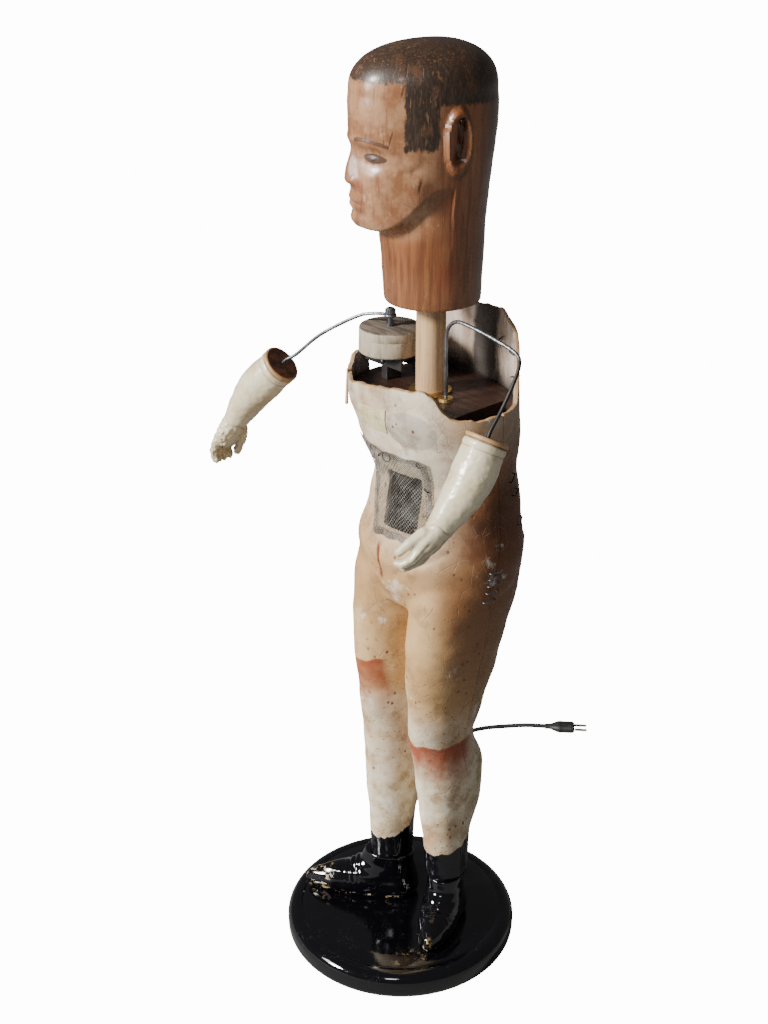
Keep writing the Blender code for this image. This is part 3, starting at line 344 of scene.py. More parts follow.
def remeshed(shape, voxel, passes=4, factor=0.5):
    """Joins everything in a bmesh into one even skin, then smooths it."""
    mesh = bpy.data.meshes.new("remesh")
    shape.to_mesh(mesh)
    shape.free()
    holder = bpy.data.objects.new("remesh", mesh)
    bpy.context.scene.collection.objects.link(holder)
    cover = holder.modifiers.new("cover", "REMESH")
    cover.mode = "VOXEL"
    cover.voxel_size = voxel
    graph = bpy.context.evaluated_depsgraph_get()
    joined = bpy.data.meshes.new_from_object(holder.evaluated_get(graph))
    bpy.data.objects.remove(holder)
    result = bmesh.new()
    result.from_mesh(joined)
    for _ in range(passes):
        bmesh.ops.smooth_vert(
            result, verts=result.verts, factor=factor, use_axis_x=True, use_axis_y=True, use_axis_z=True
        )
    return result


def between(value, low, high):
    """0 below low and 1 above high, eased."""
    t = min(max((value - low) / (high - low), 0.0), 1.0)
    return t * t * (3 - 2 * t)


def hill(value, middle, width):
    return math.exp(-(((value - middle) / width) ** 2))


# ---------------------------------------------------------------- camera, light and floor


def set_the_stage():
    camera = bpy.data.cameras.new("camera")
    camera.lens = 53.9
    camera.sensor_width = 36.0
    viewer = bpy.data.objects.new("camera", camera)
    bpy.context.scene.collection.objects.link(viewer)
    viewer.location = (1.1245, -1.0773, 1.323)
    viewer.rotation_euler = (math.radians(64.6), 0, math.radians(47))
    bpy.context.scene.camera = viewer

    floor_finish = Finish("white_floor", 0.9)
    floor_finish.colour((0.20, 0.20, 0.20))
    sweep = floor_finish.tree
    glow = sweep.nodes.new("ShaderNodeEmission")
    glow.inputs["Strength"].default_value = 14.0
    seen = sweep.nodes.new("ShaderNodeLightPath")
    blend = sweep.nodes.new("ShaderNodeMixShader")
    sweep.links.new(seen.outputs["Is Camera Ray"], blend.inputs["Fac"])
    sweep.links.new(floor_finish.shader.outputs[0], blend.inputs[1])
    sweep.links.new(glow.outputs[0], blend.inputs[2])
    sweep.links.new(blend.outputs[0], sweep.nodes["Material Output"].inputs["Surface"])
    shape = bmesh.new()
    bmesh.ops.create_grid(shape, x_segments=2, y_segments=2, size=12.0)
    mesh = bpy.data.meshes.new("floor")
    shape.to_mesh(mesh)
    shape.free()
    mesh.materials.append(floor_finish.material)
    floor = bpy.data.objects.new("floor", mesh)
    bpy.context.scene.collection.objects.link(floor)
    floor.location.z = -0.0002

    aim = Vector((0.02, 0.02, 0.62))
    for name, kind, place, size, power, colour in (
        ("daylight", "SUN", (-0.75, -2.3, 1.9), math.radians(12), 7.2, (1.0, 0.98, 0.94)),
        ("key", "AREA", (-0.9, -2.0, 1.3), 0.5, 22, (1.0, 0.985, 0.96)),
        ("sheen", "AREA", (1.5, -2.0, 2.4), 0.5, 14, (0.97, 0.98, 1.0)),
    ):
        lamp = bpy.data.lights.new(name, kind)
        lamp.energy = power
        lamp.color = colour
        if kind == "SUN":
            lamp.angle = size
        else:
            lamp.size = size
        light = bpy.data.objects.new(name, lamp)
        bpy.context.scene.collection.objects.link(light)
        light.location = place
        light.rotation_euler = (Vector(place) - aim).to_track_quat("Z", "Y").to_euler()

    world = bpy.data.worlds.new("studio")
    world.use_nodes = True
    tree = world.node_tree
    backdrop = tree.nodes["Background"]
    backdrop.inputs["Color"].default_value = (1.0, 1.0, 1.0, 1.0)
    backdrop.inputs["Strength"].default_value = 14.0
    dim = tree.nodes.new("ShaderNodeBackground")
    dim.inputs["Color"].default_value = (1.0, 1.0, 1.0, 1.0)
    dim.inputs["Strength"].default_value = 0.11
    path = tree.nodes.new("ShaderNodeLightPath")
    choose = tree.nodes.new("ShaderNodeMixShader")
    tree.links.new(path.outputs["Is Camera Ray"], choose.inputs["Fac"])
    tree.links.new(dim.outputs[0], choose.inputs[1])
    tree.links.new(backdrop.outputs[0], choose.inputs[2])
    tree.links.new(choose.outputs[0], tree.nodes["World Output"].inputs["Surface"])
    bpy.context.scene.world = world


set_the_stage()


# ---------------------------------------------------------------- finishes: rubber, metal


def rubber_finish():
    made = Finish("cord_rubber", 0.5)
    scuff = made.cloud(90, 4, 0.6)
    made.colour(made.mix((0.012, 0.012, 0.012), (0.045, 0.043, 0.040), scuff.ease(0.5, 0.8)))
    made.rough(0.42 + scuff * 0.3).bump(made.cloud(900, 2), 0.0001, 0.5)
    return made


def steel_finish(name="arm_steel", dark=(0.10, 0.105, 0.115), bright=(0.34, 0.36, 0.39)):
    made = Finish(name, 0.35, 0.9)
    drawn = made.cloud(420, 4, 0.6, (1, 1, 0.15))
    tarnish = made.cloud(60, 4, 0.65)
    colour = made.mix(dark, bright, drawn.ease(0.3, 0.7) * tarnish.ease(0.75, 0.35))
    rust = made.cloud(150, 5, 0.7, shift=(3, 1, 2)).ease(0.66, 0.78)
    made.colour(made.mix(colour, (0.10, 0.045, 0.022), rust * 0.6))
    made.rough(0.27 + tarnish * 0.25 + rust * 0.3).bump(drawn, 0.0001, 0.4)
    return made


def brass_finish():
    made = Finish("old_brass", 0.35, 1.0)
    age = made.cloud(140, 4, 0.6)
    made.colour(made.mix((0.52, 0.36, 0.14), (0.16, 0.09, 0.035), age.ease(0.4, 0.75)))
    made.rough(0.3 + age * 0.3).bump(age, 0.0001, 0.3)
    return made


def black_steel_finish():
    made = Finish("black_channel_paint", 0.38)
    chip = made.cloud(220, 5, 0.7).ease(0.64, 0.70)
    dust = made.cloud(40, 3)
    colour = made.mix((0.008, 0.008, 0.009), (0.030, 0.028, 0.026), dust)
    made.colour(made.mix(colour, (0.30, 0.29, 0.28), chip * 0.7))
    made.metal(chip * 0.8).rough(0.30 + dust * 0.25).bump(made.cloud(500, 3), 0.0002, 0.4)
    return made


RUBBER = rubber_finish()
STEEL = steel_finish()
DARK_WIRE = steel_finish("blackened_wire", (0.020, 0.018, 0.017), (0.075, 0.070, 0.066))
BRASS = brass_finish()
BLACK_STEEL = black_steel_finish()


# ---------------------------------------------------------------- the mains cord

CORD_RADIUS = 0.00325
CORD_FLOOR = CORD_RADIUS + GAP
COIL_TURNS = 5
PLUG_PINS = ("plug_pin_left", "plug_pin_right")
PLUG_FLATTEN = 0.62
PLUG_HALF = 0.0115
PLUG_Z = PLUG_HALF * PLUG_FLATTEN + GAP
CORD_DROP = [
    (-0.0300, 0.0590, 0.2900),
    (-0.0300, 0.0760, 0.2900),
    (-0.0300, 0.0890, 0.2899),
    (-0.0300, 0.1030, 0.2862),
    (-0.0302, 0.1135, 0.2765),
    (-0.0305, 0.1190, 0.2620),
    (-0.0310, 0.1200, 0.2400),
    (-0.0320, 0.1215, 0.1900),
    (-0.0335, 0.1270, 0.1300),
    (-0.0365, 0.1400, 0.0800),
    (-0.0430, 0.1550, 0.0420),
    (-0.0560, 0.1700, 0.0150),
    (-0.0780, 0.1850, CORD_FLOOR),
    (-0.1080, 0.1945, CORD_FLOOR),
    (-0.1400, 0.1988, CORD_FLOOR),
]
CORD_TAIL = [
    (-0.2372, 0.2720, CORD_FLOOR),
    (-0.2430, 0.2950, CORD_FLOOR),
    (-0.2470, 0.3300, CORD_FLOOR),
    (-0.2450, 0.3620, CORD_FLOOR),
    (-0.2330, 0.3980, CORD_FLOOR),
    (-0.2090, 0.4310, 0.0045),
    (-0.1880, 0.4500, PLUG_Z),
    (-0.1680, 0.4681, PLUG_Z),
]


def coil_route():
    """The turns: three side by side on the floor, going in, then two lying on them, going out."""
    low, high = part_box("cord_coil")
    middle = (low + high) / 2
    outer = (high.x - low.x) / 2 - CORD_RADIUS - 0.0002
    pitch = 2 * CORD_RADIUS + 0.0001
    climb = 2 * CORD_RADIUS - 0.0009
    steps = 28
    route = []
    for i in range(COIL_TURNS * steps + steps // 4 + 1):
        turn = i / steps
        if turn <= 2.6:
            radius = outer - pitch * between(turn, 0.3, 2.3) * 2
        else:
            radius = outer - pitch * 2 + pitch * between(turn, 2.9, 4.6) * 2
        height = CORD_FLOOR + climb * between(turn, 2.45, 2.8)
        radius += 0.0050 * between(turn, 4.40, 4.85)
        height -= climb * between(turn, 4.80, 5.15)
        angle = -math.pi / 2 - turn * math.tau
        route.append(
            Vector((middle.x + radius * math.cos(angle), middle.y + radius * math.sin(angle), height))
        )
    return route


def make_cord():
    coil = coil_route()
    route = smooth_route([*CORD_DROP, coil[0]], 0.006)[:-1]
    for _ in range(14):
        for i in range(4, len(route) - 1):
            route[i] = route[i].lerp((route[i - 1] + route[i + 1]) / 2, 0.5)
    lead = smooth_route([coil[-1], coil[-1] + (coil[-1] - coil[-2]) * 1.2, *CORD_TAIL], 0.006)
    path = [*route, *coil, *lead[1:]]
    for point in path:
        point.z = max(point.z, CORD_RADIUS + 0.0001)
    length = sum((q - p).length for p, q in zip(path, path[1:]))
    print("cord length", round(length, 3))
    cord = rod("mains_cord", [path], CORD_RADIUS, RUBBER, "body", 4,
               ("cord_drop", "cord_coil", "cord_tail"))
    end = path[-1]
    along = (path[-1] - path[-3]).normalized()
    along.z = 0
    along.normalize()
    shape = bmesh.new()
    half = PLUG_HALF

    def plug_point(turn, rise):
        reach = 0.045 * rise
        radius = 0.0052 + (half - 0.0052) * between(rise, 0.12, 0.52)
        radius -= 0.0006 * (0.5 + 0.5 * math.cos(rise * 90)) * between(rise, 0.5, 0.6)
        radius *= 1 - 0.18 * between(rise, 0.93, 1.0)
        angle = turn * math.tau
        side = math.copysign(abs(math.cos(angle)) ** 0.8, math.cos(angle)) * radius
        tall = math.copysign(abs(math.sin(angle)) ** 0.8, math.sin(angle)) * radius * PLUG_FLATTEN
        return Vector((side, tall, reach))

    skin(shape, 48, 60, plug_point)
    place = Matrix.Translation(end) @ frame_along(along)
    bmesh.ops.transform(shape, matrix=place, verts=shape.verts)
    plug = finished("plug_moulding", shape, RUBBER, "body", True, None, ("plug_body",))
    tuple(path[0])

    low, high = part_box("cord_grommet")
    mouth = Vector(((low.x + high.x) / 2, low.y, (low.z + high.z) / 2))
    tip = high.y - low.y
    flange = (high.x - low.x) / 2
    wall_part = tip - 0.0260 - 0.0012
    profile = [
        (CORD_RADIUS + 0.0004, 0.0),
        (0.0061, 0.0),
        (0.0061, wall_part + 0.0012),
        (flange, wall_part + 0.0014),
        (flange, wall_part + 0.0036),
        (flange - 0.0012, wall_part + 0.0044),
    ]
    for i in range(7):
        rise = wall_part + 0.0056 + i * 0.0028
        body_radius = 0.0066 - 0.0021 * i / 6
        profile += [(body_radius, rise), (body_radius, rise + 0.0012), (body_radius - 0.0009, rise + 0.0016),
                    (body_radius - 0.0009, rise + 0.0024)]
    profile += [(CORD_RADIUS + 0.0012, tip), (CORD_RADIUS + 0.0004, tip)]
    shape = lathe(profile, mouth, Vector((0, 1, 0)), 40, closed=True)
    finished("cord_gland", shape, RUBBER, "body", True, 40, ("cord_grommet",))
    low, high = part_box("cord_coil")
    middle = (low + high) / 2
    turns_at = middle + UP * 0.0012
    outward_way = Vector((0.7071, 0.7071, 0))
    reach = (high.x - low.x) / 2 - 0.010
    ring = []
    for i in range(20):
        angle = math.tau * i / 20
        across = math.copysign(abs(math.cos(angle)) ** 0.5, math.cos(angle))
        tall = math.copysign(abs(math.sin(angle)) ** 0.5, math.sin(angle))
        ring.append(turns_at + outward_way * (reach + 0.0112 * across) + UP * 0.0061 * tall)
    rod("coil_tie", [ring], 0.0009, RUBBER, "body", 2, (), True)


make_cord()
for pin in PLUG_PINS:
    dress(pin, BRASS)


# ---------------------------------------------------------------- the moulded body

TORSO = [
    (0.488, 0.025, 0.024, 0.0840, 0.058, 0.070),
    (0.522, 0.027, 0.027, 0.0975, 0.074, 0.087),
    (0.552, 0.028, 0.030, 0.1000, 0.083, 0.092),
    (0.600, 0.027, 0.036, 0.0890, 0.076, 0.086),
    (0.640, 0.025, 0.040, 0.0820, 0.073, 0.079),
    (0.690, 0.024, 0.028, 0.0990, 0.076, 0.082),
    (0.720, 0.022, 0.023, 0.1050, 0.080, 0.080),
    (0.830, 0.018, 0.021, 0.1080, 0.082, 0.078),
]
LEFT_LEG = [
    (0.100, 0.053, 0.027, 0.0240, 0.028, 0.030),
    (0.155, 0.052, 0.027, 0.0245, 0.031, 0.033),
    (0.200, 0.049, 0.032, 0.0290, 0.041, 0.050),
    (0.250, 0.048, 0.031, 0.0325, 0.045, 0.052),
    (0.300, 0.045, 0.024, 0.0330, 0.045, 0.040),
    (0.350, 0.052, 0.024, 0.0365, 0.053, 0.050),
    (0.400, 0.058, 0.024, 0.0405, 0.064, 0.064),
    (0.450, 0.065, 0.024, 0.0440, 0.068, 0.070),
    (0.500, 0.070, 0.027, 0.0480, 0.070, 0.078),
    (0.560, 0.072, 0.031, 0.0500, 0.060, 0.078),
]
RIGHT_LEG = [
    (0.100, -0.025, 0.008, 0.0240, 0.028, 0.030),
    (0.155, -0.025, 0.009, 0.0245, 0.031, 0.033),
    (0.200, -0.028, 0.017, 0.0290, 0.041, 0.048),
    (0.250, -0.030, 0.019, 0.0310, 0.044, 0.048),
    (0.300, -0.030, 0.017, 0.0330, 0.044, 0.040),
    (0.350, -0.028, 0.018, 0.0360, 0.052, 0.050),
    (0.400, -0.0255, 0.020, 0.0405, 0.063, 0.064),
    (0.450, -0.022, 0.020, 0.0430, 0.067, 0.070),
    (0.500, -0.020, 0.024, 0.0480, 0.068, 0.078),
    (0.560, -0.016, 0.031, 0.0500, 0.060, 0.078),
]
RIM_FRONT = [
    (-0.200, 0.716), (-0.098, 0.717), (-0.0905, 0.728), (-0.083, 0.7525), (-0.0785, 0.7515),
    (-0.074, 0.7445), (-0.045, 0.7410), (0.000, 0.7500), (0.045, 0.7585), (0.078, 0.7585),
    (0.088, 0.7520), (0.094, 0.7380), (0.103, 0.7310), (0.200, 0.7285),
]
RIM_BACK = [
    (-0.200, 0.716), (-0.085, 0.716), (-0.064, 0.722), (-0.054, 0.752), (-0.045, 0.807),
    (-0.036, 0.8140), (0.010, 0.8120), (0.058, 0.8140), (0.094, 0.8000), (0.112, 0.7650),
    (0.119, 0.7350), (0.135, 0.7285), (0.200, 0.7285),
]
WINDOW_TURN = math.radians(7)
WINDOW_Z = 0.620
WINDOW_HALF = (0.0235, 0.0325)


def along_table(table, at, column):
    """A value of a table at its first column, eased between rows."""
    if at <= table[0][0]:
        return table[0][column]
    for low, high in zip(table, table[1:]):
        if at <= high[0]:
            t = (at - low[0]) / (high[0] - low[0])
            t = t * t * (3 - 2 * t) * 0.5 + t * 0.5
            return low[column] + (high[column] - low[column]) * t
    return table[-1][column]


def straight_table(table, at):
    return float(np.interp(at, [row[0] for row in table], [row[1] for row in table]))


def section(table, z, turn, grow=0.0):
    """A point of a limb's outline at a height: turn 0 is the front, a quarter is +X."""
    x, y, half, front, back = (along_table(table, z, i) for i in range(1, 6))
    angle = turn * math.tau
    depth = front if math.cos(angle) > 0 else back
    return Vector((x + (half + grow) * math.sin(angle), y - (depth + grow) * math.cos(angle), z))


def limb(shape, table, columns, rows, low=None, high=None):
    low = table[0][0] if low is None else low
    high = table[-1][0] if high is None else high
    skin(shape, columns, rows, lambda turn, rise: section(table, low + (high - low) * rise, turn))


def seam_y(point):
    """Where the side seam runs, front to back, at this height and side."""
    forward = 0.013 * between(point.x, 0.06, 0.09) * hill(point.z, 0.530, 0.035)
    if point.z >= 0.552:
        return along_table(TORSO, point.z, 2) - forward
    right = along_table(RIGHT_LEG, point.z, 2)
    left = along_table(LEFT_LEG, point.z, 2)
    y = right + (left - right) * between(point.x, -0.030, 0.055)
    hip = along_table(TORSO, point.z, 2)
    return y + (hip - y) * between(point.z, 0.45, 0.552) - forward


def body_form():
    """Trunk and legs as one even skin, with the modelling of muscles and creases."""
    shape = bmesh.new()
    limb(shape, TORSO, 96, 90)
    limb(shape, LEFT_LEG, 64, 110)
    limb(shape, RIGHT_LEG, 64, 110)
    form = remeshed(shape, 0.0026, 6, 0.5)
    for vert in form.verts:
        p = vert.co
        out = vert.normal
        lift = 0.0010 * noise.noise(p * 26) + 0.0004 * noise.noise(p * 90)
        front = between(-out.y, 0.2, 0.9)
        # groin folds run down and in from each hip to the crotch
        for hip_x, in_x in ((0.100, 0.034), (-0.048, 0.018)):
            fold_x = hip_x + (in_x - hip_x) * between(p.z, 0.585, 0.525)
            if 0.515 < p.z < 0.60:
                lift -= 0.0016 * front * hill(p.x, fold_x, 0.006) * hill(p.z, 0.553, 0.030)
        for knee_x in (0.048, -0.030):
            lift += 0.0022 * front * hill(p.x, knee_x, 0.016) * hill(p.z, 0.318, 0.020)
            lift -= 0.0012 * front * hill(p.x, knee_x, 0.020) * hill(p.z, 0.287, 0.012)
            shin = hill(p.x, knee_x + 0.002, 0.005) * between(p.z, 0.29, 0.26) * between(p.z, 0.14, 0.17)
            lift += 0.0014 * front * shin
        if out.x > 0.4 and p.z < 0.52:
            lift += 0.0012 * hill(p.y, seam_y(p), 0.0040) * between(out.x, 0.4, 0.8)
        back = between(out.y, 0.2, 0.9)
        lift -= 0.0040 * back * hill(p.x, 0.026, 0.008) * hill(p.z, 0.535, 0.035)
        lift -= 0.0018 * back * hill(p.x, 0.025, 0.014) * between(p.z, 0.56, 0.62)
        # the crack under the belly
        crack_x = 0.0145 + 0.02 * (0.545 - p.z)
        lift -= 0.0018 * front * hill(p.x, crack_x, 0.0016) * hill(p.z, 0.545, 0.017)
        vert.co = p + out * lift
    return form


def trim_to(form, keep_front, rim):
    """Cuts the skin along the seam and the torn rim, and snaps its new edges to those lines."""

    def rim_z(p):
        torn = 0.0016 * noise.noise(p * 160) + 0.0024 * noise.noise(p * 55)
        return straight_table(rim, p.x) + torn

    def outside(p):
        seam = seam_y(p) + (-GAP if keep_front else GAP)
        wrong_side = p.y > seam if keep_front else p.y < seam
        return wrong_side or p.z > rim_z(p) or p.z < 0.1012

    dead = [face for face in form.faces if outside(face.calc_center_median())]
    bmesh.ops.delete(form, geom=dead, context="FACES")
    for vert in form.verts:
        if not vert.is_boundary:
            continue
        seam = seam_y(vert.co) + (-GAP if keep_front else GAP)
        if abs(vert.co.y - seam) < 0.0040 and vert.co.z < rim_z(vert.co) - 0.002:
            vert.co.y = seam
        elif vert.co.z > 0.70:
            vert.co.z = min(rim_z(vert.co), vert.co.z + 0.002)
        if vert.co.z < 0.104:
            vert.co.z = 0.1004


def cut_window(form):
    middle = section(TORSO, WINDOW_Z, WINDOW_TURN / math.tau)
    out = Vector((math.sin(WINDOW_TURN), -math.cos(WINDOW_TURN), 0))
    across = Vector((math.cos(WINDOW_TURN), math.sin(WINDOW_TURN), 0))
    half_wide, half_tall = WINDOW_HALF

    def local(p):
        away = p - middle
        return away.dot(across), away.z, away.dot(out)

    dead = []
    for face in form.faces:
        x, z, depth = local(face.calc_center_median())
        if depth > -0.03 and abs(x) < half_wide and abs(z) < half_tall:
            dead.append(face)
    bmesh.ops.delete(form, geom=dead, context="FACES")
    for vert in form.verts:
        if not vert.is_boundary:
            continue
        x, z, depth = local(vert.co)
        if depth < -0.03 or abs(x) > half_wide + 0.004 or abs(z) > half_tall + 0.004:
            continue
        side_gap, end_gap = abs(abs(x) - half_wide), abs(abs(z) - half_tall)
        if side_gap < end_gap or side_gap < 0.0015:
            vert.co += across * (math.copysign(half_wide, x) - x)
        if end_gap < side_gap or end_gap < 0.0015:
            vert.co.z += math.copysign(half_tall, z) - z


def papier_mache_finish():
    """Cream distemper over brown paper pulp, stained red-brown, with black enamel at the feet."""
    made = Finish("aged_papier_mache", 0.6)
    x, y, z = made.axes()
    broad = made.cloud(7, 4, 0.6)
    mottle = made.cloud(38, 5, 0.65)
    fine = made.cloud(260, 4, 0.6)
    cream, tan, pale = (0.72, 0.63, 0.48), (0.58, 0.36, 0.15), (0.74, 0.67, 0.52)
    colour = made.mix(cream, tan, z.ease(0.60, 0.53).both(z.ease(0.33, 0.37)) * (0.60 + broad * 0.6))
    colour = made.mix(colour, pale, z.ease(0.26, 0.20) * 0.7)
    colour = made.mix(colour, (0.50, 0.36, 0.19), z.ease(0.36, 0.30) * mottle.ease(0.36, 0.60) * 0.65)
    belly = z.ease(0.675, 0.600) * z.ease(0.44, 0.54)
    colour = made.mix(colour, (0.40, 0.225, 0.095), belly * (mottle * 0.55 + broad * 0.75).both(0.92))
    # painted shade: the side turned away from the light is darkened with a mottled brown
    turned_away = (x * 0.86 + y * 0.42).ease(0.052, 0.100)
    painted_side_shade = turned_away * z.ease(0.28, 0.36) * (0.35 + mottle * 0.6).both(0.85)
    colour = made.mix(colour, (0.33, 0.175, 0.075), painted_side_shade)
    chest = z.ease(0.655, 0.700)
    colour = made.mix(colour, (0.43, 0.335, 0.245), chest * mottle.ease(0.34, 0.62) * 0.75)
    under_tape = z.ease(0.712, 0.700) * z.ease(0.664, 0.672) * x.ease(0.075, 0.045)
    colour = made.mix(colour, (0.80, 0.75, 0.64), under_tape * mottle.ease(0.70, 0.50) * 0.7)
    grey = (0.46, 0.41, 0.38)
    colour = made.mix(colour, grey, z.ease(0.66, 0.72) * mottle.ease(0.42, 0.68) * 0.55)
    colour = made.mix(colour, (0.36, 0.20, 0.08), broad.ease(0.46, 0.66) * 0.65)
    colour = made.mix(colour, (0.28, 0.155, 0.070), mottle.ease(0.52, 0.70) * 0.60)

    # rust-brown tide marks above both knees: a hard upper edge that fades downwards
    wander = made.cloud(34, 3, 0.5)
    knees = ((-0.030, 0.400, 0.085, 0.034, 0.026), (0.052, 0.302, 0.070, 0.040, 0.030))
    for middle, top, depth, outer, inner in knees:
        side = (x - middle).size().ease(outer, inner)
        edge = z - top + (wander - 0.5) * 0.030
        front = y.ease(0.055, 0.020)
        wash = edge.ease(0.0015, -0.0015) * edge.ease(-depth, -0.005) * side * front
        line = edge.size().ease(0.0035, 0.0005) * side * front
        stain = wash * (0.35 + mottle * 0.6)
        colour = made.mix(colour, (0.27, 0.050, 0.016), (stain * 1.45).both(0.95).either(line * 0.9))
    foot_glow = made.near((0.050, -0.004, 0.165), 0.034, (wander - 0.5) * 0.8, 0.9)
    colour = made.mix(colour, (0.42, 0.17, 0.08), foot_glow * 0.35)

    # a pasted patch of grey paper on the chest
    patch = made.near((0.062, -0.052, 0.712), 0.030, (wander - 0.5) * 0.35, 0.10, (0.9, 0.9, 1.25))
    grey_paper = made.mix((0.44, 0.40, 0.34), (0.30, 0.25, 0.19), mottle.ease(0.4, 0.65))
    colour = made.mix(colour, grey_paper, patch * 0.8)

    # brown staining at the side of the hips and under the arm; at the hip and on the outer side of the left
    # leg it is deepened into painted shade on the side away from the light
    hip = made.near((0.130, 0.040, 0.585), 0.100, (mottle - 0.5) * 1.2, 0.7, (1, 1, 0.62))
    colour = made.mix(colour, (0.115, 0.036, 0.012), hip * (0.72 + mottle * 0.5).both(0.97))
    leg_side_stain_and_shade = x.ease(0.078, 0.108) * z.ease(0.60, 0.50) * z.ease(0.30, 0.42)
    colour = made.mix(colour, (0.20, 0.075, 0.022), leg_side_stain_and_shade * (0.40 + mottle * 0.7).both(0.95))
    tear = made.near((0.120, 0.016, 0.650), 0.042, (mottle - 0.5) * 1.0, 0.6, (1, 1, 0.8))
    colour = made.mix(colour, (0.32, 0.13, 0.045), tear * 0.75)
    arm = made.near((0.100, -0.010, 0.730), 0.040, (mottle - 0.5) * 1.2, 0.8)
    colour = made.mix(colour, (0.40, 0.25, 0.13), arm * 0.7)
    back_brown = y.ease(0.075, 0.115) * broad.ease(0.35, 0.65)
    colour = made.mix(colour, (0.36, 0.24, 0.14), back_brown * 0.6)

    # the red-brown crack under the belly
    crack_line = (x - 0.0150 + (wander - 0.5) * 0.006).size().ease(0.0034, 0.0012)
    crack = crack_line * z.ease(0.518, 0.528) * z.ease(0.570, 0.562) * y.ease(-0.02, -0.035)
    colour = made.mix(colour, (0.20, 0.045, 0.015), crack)

    # hairline craze, drips and flecks
    craze = made.cells(52, "DISTANCE_TO_EDGE", at=made.placed(scale=(1, 1, 0.75)))
    hairs = craze.ease(0.022, 0.002) * mottle.ease(0.44, 0.58)
    colour = made.mix(colour, (0.30, 0.20, 0.13), hairs * 0.38)
    flecks = made.cells(95, stretch=(1, 1, 0.75)).ease(0.20, 0.12)
    flecks = flecks * made.cloud(23, 2, shift=(4, 0, 1)).ease(0.47, 0.60)
    low_flecks = made.cells(150, shift=(0.3, 0, 0)).ease(0.20, 0.10)
    low_flecks = low_flecks * z.ease(0.45, 0.32) * broad.ease(0.40, 0.60)
    speck = flecks.either(low_flecks)
    colour = made.mix(colour, (0.15, 0.050, 0.020), speck * 0.9)
    pits = made.cells(330).ease(0.22, 0.10) * fine.ease(0.5, 0.7)
    colour = made.mix(colour, (0.30, 0.22, 0.15), pits * 0.5)

    # white scuffs where the distemper is rubbed, brown where it is gone at the torn edges
    chalk = made.cloud(18, 5, 0.7, shift=(2, 2, 0)).ease(0.60, 0.70)
    colour = made.mix(colour, (0.76, 0.72, 0.64), chalk * 0.55)
    edge_wear = made.attribute("torn_edge")
    bare = edge_wear.ease(0.25, 0.7) * (0.60 + mottle * 0.5).both(1.0)
    colour = made.mix(colour, (0.40, 0.22, 0.085), bare)
    inner = made.attribute("inner_face")
    streaks = made.cloud(60, 4, 0.6, (1, 1, 0.18))
    inside = made.mix((0.60, 0.50, 0.42), (0.30, 0.19, 0.13), streaks.ease(0.42, 0.72) * 0.8)
    # painted shade: the inside of the shell goes near-black below the torn rim, crossed by a band of painted
    # shadow
    painted_inner_shade = (z + (broad - 0.5) * 0.06).ease(0.760, 0.725)
    shadow_band = (x - 0.030 - (wander - 0.5) * 0.02 - (z - 0.77) * 0.15).size().ease(0.023, 0.012)
    inside = made.mix(inside, (0.014, 0.010, 0.009), painted_inner_shade.either(shadow_band * 0.92))
    colour = made.mix(colour, inside, inner)

    # black enamel, its upper edge ragged and brushed
    brush = made.cloud(110, 4, 0.6, (1, 1, 0.3))
    heel = y * 0.35
    edge = z + (brush - 0.5) * 0.016 + (wander - 0.5) * 0.018 - heel
    enamel = edge.ease(0.1405, 0.1385)
    enamel = enamel * (1 - inner)
    colour = made.mix(colour, (0.004, 0.004, 0.006), enamel)
    made.colour(colour)
    handled = z.ease(0.30, 0.36) * z.ease(0.60, 0.52)
    rough = 0.62 + (fine - 0.5) * 0.25 - chalk * 0.05 - handled * 0.14
    made.rough(rough * (1 - enamel) + enamel * (0.10 + fine * 0.08))
    height = fine * 0.30 + mottle * 0.55 - hairs * 0.35 - speck * 0.25 - crack * 0.9 - pits * 0.4
    made.bump(height * (1 - enamel * 0.8) + enamel * 0.35 + chalk * 0.12, 0.0011, 0.75)
    return made


PAPIER_MACHE = papier_mache_finish()


def thickened(form):
    """Gives an open skin its wall, with a ragged edge of several plies all round."""
    inner_mark = form.verts.layers.float.new("inner_face")
    torn_mark = form.verts.layers.float.new("torn_edge")
    form.normal_update()
    skin_faces = form.faces[:]
    skin_verts = form.verts[:]
    plies = {}
    for vert in skin_verts:
        high_edge = vert.is_boundary and vert.co.z > 0.70
        depths = (0.3, 0.62, 1.0) if vert.is_boundary else (1.0,)
        plies[vert] = [vert]
        for depth in depths:
            place = vert.co - vert.normal * WALL * depth
            if high_edge and depth < 1:
                place.z += 0.0012 * noise.noise(place * 210) + 0.0006
            ply = form.verts.new(place)
            ply[inner_mark] = 1.0 if depth == 1.0 else 0.0
            ply[torn_mark] = 1.0 if high_edge else 0.5
            plies[vert].append(ply)
        vert[torn_mark] = 0.55 if high_edge else 0.0
    rims = [edge for edge in form.edges if edge.is_boundary and len(edge.link_loops) == 1]
    ends = [(edge.link_loops[0].vert, edge.link_loops[0].link_loop_next.vert) for edge in rims]
    for face in skin_faces:
        form.faces.new([plies[vert][-1] for vert in reversed(face.verts)])
    for start, end in ends:
        for a, b, c, d in zip(plies[end], plies[start], plies[start][1:], plies[end][1:]):
            form.faces.new((a, b, c, d))


def shell(name, node, keep_front, rim):
    form = body_form()
    trim_to(form, keep_front, rim)
    if keep_front:
        cut_window(form)
    loose = [vert for vert in form.verts if not vert.link_faces]
    bmesh.ops.delete(form, geom=loose, context="VERTS")
    for _ in range(2):
        edges = [vert for vert in form.verts if vert.is_boundary]
        moves = []
        for vert in edges:
            near = [e.other_vert(vert).co for e in vert.link_edges if e.is_boundary]
            if len(near) == 2:
                moves.append((vert, vert.co.lerp((near[0] + near[1]) / 2, 0.4)))
        for vert, place in moves:
            vert.co = place
    thickened(form)
    finished(name, form, PAPIER_MACHE, "body", True, 60, (node,))


shell("front_half", "front_shell", True, RIM_FRONT)
shell("back_half", "back_shell", False, RIM_BACK)


# ---------------------------------------------------------------- base and boots


